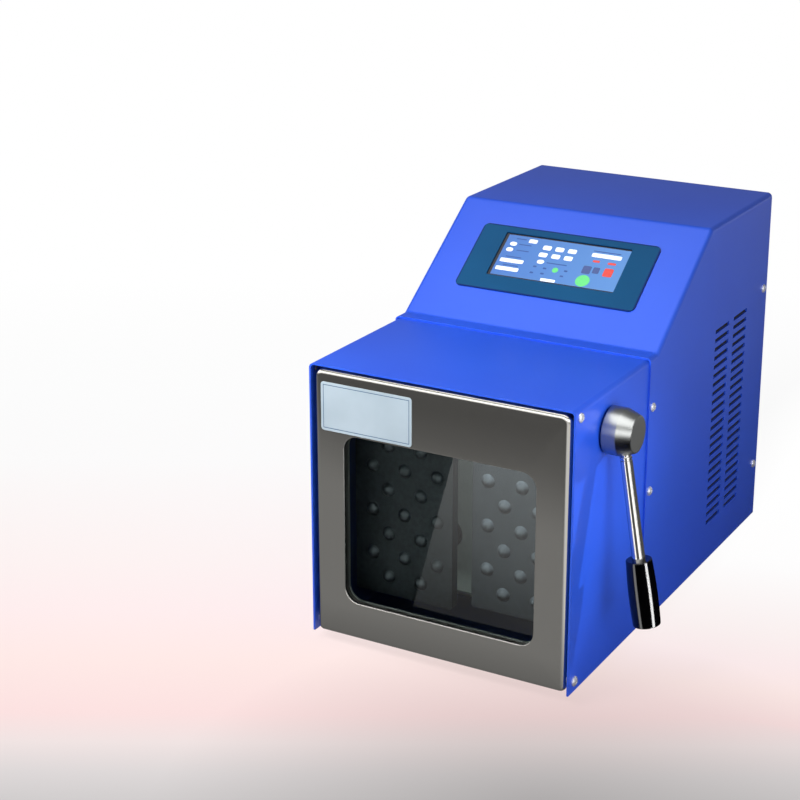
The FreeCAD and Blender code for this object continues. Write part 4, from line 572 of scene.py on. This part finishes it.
# %% Blasted metal in the chamber
# Partly painted shade: the paddles' grey is kept dark for the dim chamber they stand in.
paddle_metal = grained_metal(
    "bead_blasted_steel_dark", ("#373c40", "#3f4549"), 0.44, 900.0, 0.004, 0.35)
FINISHES["paddle_metal"] = paddle_metal
blasted_sheet = grained_metal(
    "bead_blasted_stainless_sheet", ("#636c68", "#6c7571"), 0.5, 500.0, 0.06, 0.4)
print(paddle_metal.name, blasted_sheet.name)

# %% [markdown]
# The window is a flat pane of tempered float glass. It mirrors a little and lets the rest straight
# through, by Schlick's formula: F = 0.04 + 0.96 (1 - cos a)^5, where a is the angle to the normal.
# Only a face met from outside the glass mirrors, so an edge seen in the pane isn't doubled.

# %% Glass
MIRRORED_HEAD_ON = 0.04

glass = bpy.data.materials.new("tempered_float_glass")
tree = bare_tree(glass)
turned_away = add(tree, "ShaderNodeLayerWeight", inputs={"Blend": 0.5}).outputs["Facing"]
share = worked(tree, "MULTIPLY_ADD", worked(tree, "POWER", turned_away, 5.0),
               1.0 - MIRRORED_HEAD_ON, MIRRORED_HEAD_ON)
clear = add(tree, "ShaderNodeBsdfTransparent", inputs={"Color": linear("#f4f8f7")})
mirror = add(tree, "ShaderNodeBsdfGlossy", inputs={"Color": linear("#ffffff"), "Roughness": 0.0})
met_from_within = add(tree, "ShaderNodeNewGeometry").outputs["Backfacing"]
pane = add(tree, "ShaderNodeMixShader", inputs={
    0: blend(tree, met_from_within, share, 0.0), 1: clear.outputs[0], 2: mirror.outputs[0]})
add(tree, "ShaderNodeOutputMaterial", inputs={"Surface": pane.outputs[0]})
FINISHES["window_glass"] = glass
print(glass.name)

# %% [markdown]
# Two printed films carry a line at or near their edge. A rectangle's edge distance is the larger
# of |x| minus half its width and |y| minus half its height: zero on the edge, negative inside.
# Where that distance lies past a limit or within a band, the film is printed in a second colour.

# %% Printed films
def edge_distance(tree, where, centre, turn_x, half):
    """Distance outside a flat rectangle, in its own plane: max(|x| - a, |y| - b)."""
    moved = vector_worked(tree, "SUBTRACT", where, tuple(centre))
    flat = add(tree, "ShaderNodeMapping", inputs={"Vector": moved, "Rotation": (turn_x, 0, 0)})
    size = vector_worked(tree, "ABSOLUTE", flat.outputs[0])
    past = vector_worked(tree, "SUBTRACT", size, (*half, 0))
    apart = add(tree, "ShaderNodeSeparateXYZ", inputs={0: past})
    return worked(tree, "MAXIMUM", apart.outputs[0], apart.outputs[1])


def slope_point(x, s):
    """A point on the sloped front, x across and s up the slope, in drawing millimetres."""
    return SLOPE_FOOT + np.array([x, 0.0, 0.0]) + s * UP_SLOPE


teal, tree, shader, where = new_material("printed_polyester_film_teal", {
    "Roughness": 0.28, "Specular IOR Level": 0.08})
gap = edge_distance(tree, where, place(slope_point(-1.2, 68.65)), -SLOPE_ANGLE, (0.079, 0.03405))
rim = worked(tree, "GREATER_THAN", gap, -0.0011)
face = clouded(tree, where, 14.0, 0.35, 0.65, ("#084974", "#0b4f7b"))
tree.links.new(mixed(tree, rim, face, linear("#0c2a66")), shader.inputs["Base Color"])
FINISHES["teal_film"] = teal

label, tree, shader, where = new_material("printed_aluminium_foil_label", {"Roughness": 0.35})
gap = edge_distance(tree, where, place((-60.7, 0.0, 188.8)), math.pi / 2, (0.0391, 0.0192))
line = worked(tree, "COMPARE", gap, -0.0022, 0.00028)
face = clouded(tree, where, 25.0, 0.35, 0.65, ("#a8b9c4", "#b1c2cd"))
tree.links.new(mixed(tree, line, face, linear("#3c5f80")), shader.inputs["Base Color"])
FINISHES["printed_plate"] = label
print(teal.name, label.name)

# %% [markdown]
# The touch screen is lit from behind, so part of its colour is given off. Its blue ground is a
# little lighter towards the right, and its rim is nearly black.

# %% Lit screen
lit_screen, tree, shader, where = new_material("backlit_display_glass", {
    "Roughness": 0.12, "Specular IOR Level": 0.2, "Emission Strength": 0.36})
apart = add(tree, "ShaderNodeSeparateXYZ", inputs={0: where})
across = mapped(tree, apart.outputs[0], -0.08, 0.035)
ground = mixed(tree, across, linear("#3867ac"), linear("#4f80bc"))
gap = edge_distance(tree, where, place(slope_point(0.0, 72.9)), -SLOPE_ANGLE, (0.0562, 0.0231))
shown = mixed(tree, worked(tree, "GREATER_THAN", gap, -0.0016), ground, linear("#060c1c"))
for socket in ("Base Color", "Emission Color"):
    tree.links.new(shown, shader.inputs[socket])
FINISHES["lit_screen"] = lit_screen
print(lit_screen.name)

# %% [markdown]
# Engineering pieces arrive as flat triangles. A small modifier welds them and shades every edge
# flatter than 30 degrees as one smooth surface, so bars look round and folds stay crisp. The
# mesh itself isn't touched.

# %% Smooth shading for round pieces
SMOOTH_BELOW = math.radians(30)
WELD_REACH = 0.00001


def shading_by_angle(limit):
    """A node modifier: merge by distance, smooth all faces, mark edges over the limit sharp."""
    group = bpy.data.node_groups.new("shade_by_angle", "GeometryNodeTree")
    group.interface.new_socket("Geometry", in_out="INPUT", socket_type="NodeSocketGeometry")
    group.interface.new_socket("Geometry", in_out="OUTPUT", socket_type="NodeSocketGeometry")
    start = add(group, "NodeGroupInput")
    welded = add(group, "GeometryNodeMergeByDistance",
                 inputs={0: start.outputs[0], "Distance": WELD_REACH})
    faces = add(group, "GeometryNodeSetShadeSmooth", {"domain": "FACE"},
                {0: welded.outputs[0], "Shade Smooth": True})
    angle = add(group, "GeometryNodeInputMeshEdgeAngle")
    below = add(group, "FunctionNodeCompare", {"data_type": "FLOAT", "operation": "LESS_THAN"},
                {0: angle.outputs[0], 1: limit})
    edges = add(group, "GeometryNodeSetShadeSmooth", {"domain": "EDGE"},
                {0: faces.outputs[0], "Shade Smooth": below.outputs[0]})
    add(group, "NodeGroupOutput", inputs={0: edges.outputs[0]})
    return group


by_angle = shading_by_angle(SMOOTH_BELOW)
for node in nodes.values():
    node.modifiers.new("shade_by_angle", "NODES").node_group = by_angle
print("smooth shading on", len(nodes), "pieces")

# %% Give every engineering piece its finish
# The chamber liner takes the blue darkened as painted shade.
own_finish = {"chamber_back": blasted_sheet, "chamber_liner": painted_shade_blue}
for name, node in nodes.items():
    node.data.materials.clear()
    node.data.materials.append(own_finish.get(name, FINISHES[slot_of[name]]))
print("finished", len(nodes), "pieces")

# %% [markdown]
# The lever is all turned work, so its three pieces are surfaces of revolution. A profile gives the
# radius at each place along the axis. Ring k of the surface is
# p(k, t) = base + a(k) * axis + r(k) * (u cos t + v sin t), with t in equal steps. Corners of more
# than 12 degrees stay crisp, which keeps the shallow edge between the hub's cylinder and its cone.

# %% Turned pieces of the lever
RING_POINTS = 72
CRISP_ABOVE = math.radians(12)
HUB_FOOT = (111.4, LEVER_Y, LEVER_Z)
LEVER_TOP = np.array([121.5, LEVER_Y, LEVER_Z])
LEVER_LEAN = math.radians(9.6)
LEVER_AXIS = np.array([math.sin(LEVER_LEAN), 0.0, -math.cos(LEVER_LEAN)])
GRIP_START = 98.0
BARREL_START, BARREL_LENGTH, BARREL_RINGS = 0.6, 50.2, 33
BARREL_PEAK = 0.62


def revolved(name, base, axis, profile):
    """Surface of revolution of (along, radius) pairs, closed by a fan of triangles at each end."""
    along, radius = np.array(profile, float).T
    axis = np.asarray(axis, float)
    u = np.cross(axis, (0.0, 1.0, 0.0))
    u /= np.linalg.norm(u)
    v = np.cross(axis, u)
    t = np.linspace(0.0, 2 * np.pi, RING_POINTS, endpoint=False)
    circle = np.outer(np.cos(t), u) + np.outer(np.sin(t), v)
    rings = base + along[:, None, None] * axis + radius[:, None, None] * circle
    ends = base + np.outer(along[[0, -1]], axis)
    points = place(np.concatenate([rings.reshape(-1, 3), ends]))
    step = np.arange(RING_POINTS)
    after = (step + 1) % RING_POINTS
    low = np.arange(len(along) - 1)[:, None] * RING_POINTS
    high = low + RING_POINTS
    quads = np.stack([low + step, low + after, high + after, high + step], -1)
    first, last = len(along) * RING_POINTS, len(along) * RING_POINTS + 1
    top = (len(along) - 1) * RING_POINTS
    caps = [(int(b), int(a), first) for a, b in zip(step, after)]
    caps += [(int(a) + top, int(b) + top, last) for a, b in zip(step, after)]
    faces = [tuple(quad) for quad in quads.reshape(-1, 4).tolist()] + caps
    piece = mesh_in_scene(name, points.tolist(), faces)
    piece.data.set_sharp_from_angle(angle=CRISP_ABOVE)
    return piece


def barrel(start, end, belly, length, count):
    """Places and radii of an arc-like barrel: start to end, widest at its peak."""
    s = np.linspace(0.0, 1.0, count)
    rise = start + (belly - start) * (1 - ((BARREL_PEAK - s) / BARREL_PEAK) ** 2)
    fall = end + (belly - end) * (1 - ((s - BARREL_PEAK) / (1 - BARREL_PEAK)) ** 2)
    return list(zip(s * length, np.where(s < BARREL_PEAK, rise, fall)))


hub = revolved("turned_hub", HUB_FOOT, (1.0, 0.0, 0.0), [
    (0.0, 17.3), (0.7, 18.0), (11.5, 18.0), (11.7, 17.93), (21.5, 14.2), (21.9, 13.95),
    (22.2, 13.55), (22.3, 13.1)])
rod = revolved("turned_rod", LEVER_TOP, LEVER_AXIS, [
    (11.0, 3.6), (18.3, 3.6), (18.3, 4.2), (18.8, 4.5), (19.9, 4.5), (20.3, 4.0), (21.1, 4.0),
    (21.5, 4.5), (GRIP_START, 5.0), (GRIP_START, 3.6), (128.0, 3.6)])
sides = [(a + BARREL_START, r)
         for a, r in barrel(9.7, 10.4, 10.9, BARREL_LENGTH, BARREL_RINGS)]
grip = revolved("barrelled_grip", LEVER_TOP + GRIP_START * LEVER_AXIS, LEVER_AXIS,
                [(0.0, 9.1), (0.2, 9.5)] + sides + [(51.2, 10.2), (51.4, 9.8)])
for piece, node, finish in ((hub, "lever_hub", "machined_aluminium"),
                            (rod, "lever_rod", "chromed_rod"),
                            (grip, "lever_grip", "black_gloss")):
    piece.data.materials.append(FINISHES[finish])
    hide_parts(node)
    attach(piece, "lever")
    print(piece.name, len(piece.data.polygons), "faces")

# %% [markdown]
# The window mirrors a pale card that stands close before the door, and its slanted edge draws the
# diagonal across the pane. Only the pane sees the card, which is clear to everything else. The
# rod and the grip each see two narrow wedges on the table that start at the lever's foot. A round
# bar shows such wedges as long straight lines. The grip sees black cloth beside them, and the rod
# a very dim one.

# %% Cards for the window, the rod and the grip
CARD_Y = -0.28
CARD_OUTLINE = [(-0.0554, 0.1356), (-0.084, 0.0274), (-0.0906, 0.002), (0.021, 0.002),
                (0.021, 0.16), (-0.049, 0.16)]
CARD_TONES = [(0.0, 0.2), (0.2, 0.32), (0.45, 0.58), (0.7, 0.8), (1.0, 1.0)]
FOOT = np.array([0.135, -0.142])
WEDGE_LENGTH, WEDGE_HEIGHT = 4.0, 0.001
ROOM_REACH, ROOM_HEIGHT, ROOM_LEVEL = 3.0, 0.0012, 0.1
EVEN = ((1, 0, 0), (-9.0, 9.0), [(0.0, 1.0), (1.0, 1.0)])


def only_for(card, item):
    """Let a tent piece glow for one object and be clear for all others."""
    tree = card.data.materials[0].node_tree
    by_type = {node.type: node for node in tree.nodes}
    clear = add(tree, "ShaderNodeBsdfTransparent")
    both = add(tree, "ShaderNodeAddShader",
               inputs={0: by_type["EMISSION"].outputs[0], 1: clear.outputs[0]})
    tree.links.new(both.outputs[0], by_type["OUTPUT_MATERIAL"].inputs[0])
    card.light_linking.receiver_collection = linked([item], "INCLUDE")


sheen = tent_piece("sheen_card", [(x, CARD_Y, z) for x, z in CARD_OUTLINE],
                   (0.25, 0.0, 1.0), (0.0, 0.16), CARD_TONES, 2.1)
only_for(sheen, nodes["window_pane"])
for name, piece, start, end, strength in (
        ("rod_left_card", rod, -138, -97, 2.2), ("rod_right_card", rod, -52, -3, 1.8),
        ("grip_left_card", grip, -124, -106, 3.6), ("grip_right_card", grip, -19, 2, 20.0)):
    corners = [FOOT] + [FOOT + WEDGE_LENGTH * np.array([math.cos(a), math.sin(a)])
                        for a in np.radians([start, end])]
    card = tent_piece(name, [(*corner, WEDGE_HEIGHT) for corner in corners], *EVEN, strength)
    only_for(card, piece)
room = tent_piece(
    "rod_room", on_table((-ROOM_REACH, -ROOM_REACH), (ROOM_REACH, ROOM_REACH), ROOM_HEIGHT),
    *EVEN, ROOM_LEVEL)
only_for(room, rod)
print("cards stand ready")

# %% [markdown]
# The key is kept off the chamber, as a flag on a stand would do, and small lamps above light the
# paddles and the sheet behind them instead. Each of those reaches one piece. The three cloths look
# black to the rod and the grip, the front one also to the pane, and the corner one to the hub.

# %% What sees what
CHAMBER_LAMPS = [("chamber_back", (0.11, -0.22, 0.31), (0.0, -0.16, 0.11), 1.0),
                 ("paddle_left", (-0.06, -0.19, 0.36), (-0.06, -0.16, 0.11), 0.07),
                 ("paddle_right", (0.03, -0.19, 0.36), (0.03, -0.16, 0.11), 3.4)]
KEPT_DARK = ("chamber_liner", "chamber_back", "paddle_left", "paddle_right")

for node, at, towards, power in CHAMBER_LAMPS:
    inside = lamp_at(node + "_lamp", "AREA", at, towards, power, size=0.03, use_shadow=False)
    inside.light_linking.receiver_collection = linked([nodes[node]], "INCLUDE")
for light, unlit in ((front_cloth, [nodes["window_pane"], grip, rod]), (side_cloth, [grip, rod]),
                     (corner_cloth, [rod, grip, hub]), (key, [nodes[name] for name in KEPT_DARK])):
    light.light_linking.receiver_collection = linked(unlit, "EXCLUDE")
print("lamps in the chamber:", len(CHAMBER_LAMPS))

# %% [markdown]
# The screen shows plain keys and blocks with nothing written on them. Each is a thin tile with a
# "superellipse" outline: x = a |cos t|^(2/n), y = b |sin t|^(2/n) with the signs of cos and sin.
# At n = 2 it is an ellipse, and at n = 8 a rectangle with soft corners.

# %% Tiles on the screen
TILE_POINTS = 28
TILE_LOW, TILE_HIGH = 0.13, 0.19
WHITE, MARK, GREEN, RED, SHADE = "#eef5ff", "#2d4f8f", "#62d27a", "#d8433c", "#3b4f86"


def superellipse(width, height, power):
    """Outline points at equal steps of t, starting half a step past the widest point."""
    t = np.linspace(0.0, 2 * np.pi, TILE_POINTS, endpoint=False) + np.pi / TILE_POINTS
    c, s = np.cos(t), np.sin(t)
    x = width / 2 * np.sign(c) * np.abs(c) ** (2 / power)
    y = height / 2 * np.sign(s) * np.abs(s) ** (2 / power)
    return np.column_stack([x, y])


def on_slope(flat, height):
    """Points (x, s) on the sloped front, raised by height along its normal."""
    across = np.array([1.0, 0.0, 0.0])
    return place(SLOPE_FOOT + flat[:, :1] * across + flat[:, 1:] * UP_SLOPE + height * OFF_SLOPE)


def tile_mesh(name, tiles, low, high):
    """All tiles in one mesh, each closed: bottom ring, top ring, side quads, and two caps."""
    points, faces, chips = [], [], []
    step = np.arange(TILE_POINTS)
    after = (step + 1) % TILE_POINTS
    for x, s, width, height, power, chip in tiles:
        base = sum(len(p) for p in points)
        outline = superellipse(width, height, power) + (x, s)
        points += [on_slope(outline, low), on_slope(outline, high)]
        sides = np.column_stack([step, after, after + TILE_POINTS, step + TILE_POINTS]) + base
        caps = [(step[::-1] + base).tolist(), (step + TILE_POINTS + base).tolist()]
        faces += sides.tolist() + caps
        chips += [chip] * (TILE_POINTS + 2)
    piece = mesh_in_scene(name, np.concatenate(points).tolist(), faces)
    colours = piece.data.color_attributes.new("tone", "FLOAT_COLOR", "CORNER")
    corner_chips = [chips[p.index] for p in piece.data.polygons for _ in p.loop_indices]
    colours.data.foreach_set("color", np.array([linear(c) for c in corner_chips]).ravel())
    return piece


# Each tile: middle across and up the slope, width, height (mm), power of its outline, chip.
keys = [(-31.3, 90.3, 7.5, 4.0, 7, WHITE), (-47.3, 85.2, 6.2, 4.2, 2.4, WHITE),
        (-48.3, 78.8, 6.2, 4.2, 2.4, WHITE), (-16.8, 70.7, 6.2, 4.2, 2.4, WHITE),
        (-41.6, 67.4, 21.0, 4.0, 9, WHITE), (-42.4, 58.6, 20.4, 4.0, 9, WHITE),
        (36.2, 85.5, 26.0, 4.2, 9, WHITE), (-3.4, 53.0, 13.0, 3.0, 9, WHITE)]
keys += [(x, 85.7, 7.5, 4.6, 5, WHITE) for x in (-16.7, -5.5, 5.7)]
keys += [(x, 78.0, 7.5, 4.6, 5, WHITE) for x in (-17.5, -6.1, 5.1)]
marks = [(x, s, 3.0, 1.6, 4, MARK) for x, s in (
    (-19.7, 65.2), (-10.7, 64.6), (-20.1, 58.6), (-10.8, 59.0), (8.0, 64.9), (6.5, 59.2))]
captions = [(x, s, width, 0.9, 9, MARK) for x, s, width in (
    (-42.0, 91.0, 9.0), (-36.5, 85.4, 11.0), (-36.5, 79.0, 11.0), (-41.7, 71.6, 14.0),
    (-40.8, 62.6, 14.0), (-2.4, 70.6, 18.0), (35.3, 89.6, 24.0))]
signals = [(-1.2, 64.3, 5.2, 5.2, 2, GREEN), (25.4, 57.9, 12.0, 12.0, 2, GREEN),
           (29.4, 79.2, 6.0, 2.2, 6, RED), (43.1, 78.8, 7.0, 2.2, 6, RED),
           (43.3, 69.5, 8.0, 8.6, 7, RED), (24.6, 69.4, 7.4, 8.2, 7, SHADE),
           (32.6, 70.0, 5.6, 6.4, 7, SHADE)]
tiles = keys + marks + captions + signals
screen_keys = tile_mesh("screen_keys", tiles, TILE_LOW, TILE_HIGH)
print("screen tiles:", len(tiles))

# %% The tiles' glow
glow, tree, shader, where = new_material("backlit_display_image", {
    "Roughness": 0.15, "Specular IOR Level": 0.2, "Emission Strength": 0.3})
tone = add(tree, "ShaderNodeAttribute", {"attribute_name": "tone"}).outputs["Color"]
soft = clouded(tree, where, 400.0, 0.2, 0.8, ("#f4f4f4", "#ffffff"))
shown = mixed(tree, 1.0, tone, soft, "MULTIPLY")
for socket in ("Base Color", "Emission Color"):
    tree.links.new(shown, shader.inputs[socket])
screen_keys.data.materials.append(glow)
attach(screen_keys, "housing")
print(glow.name)
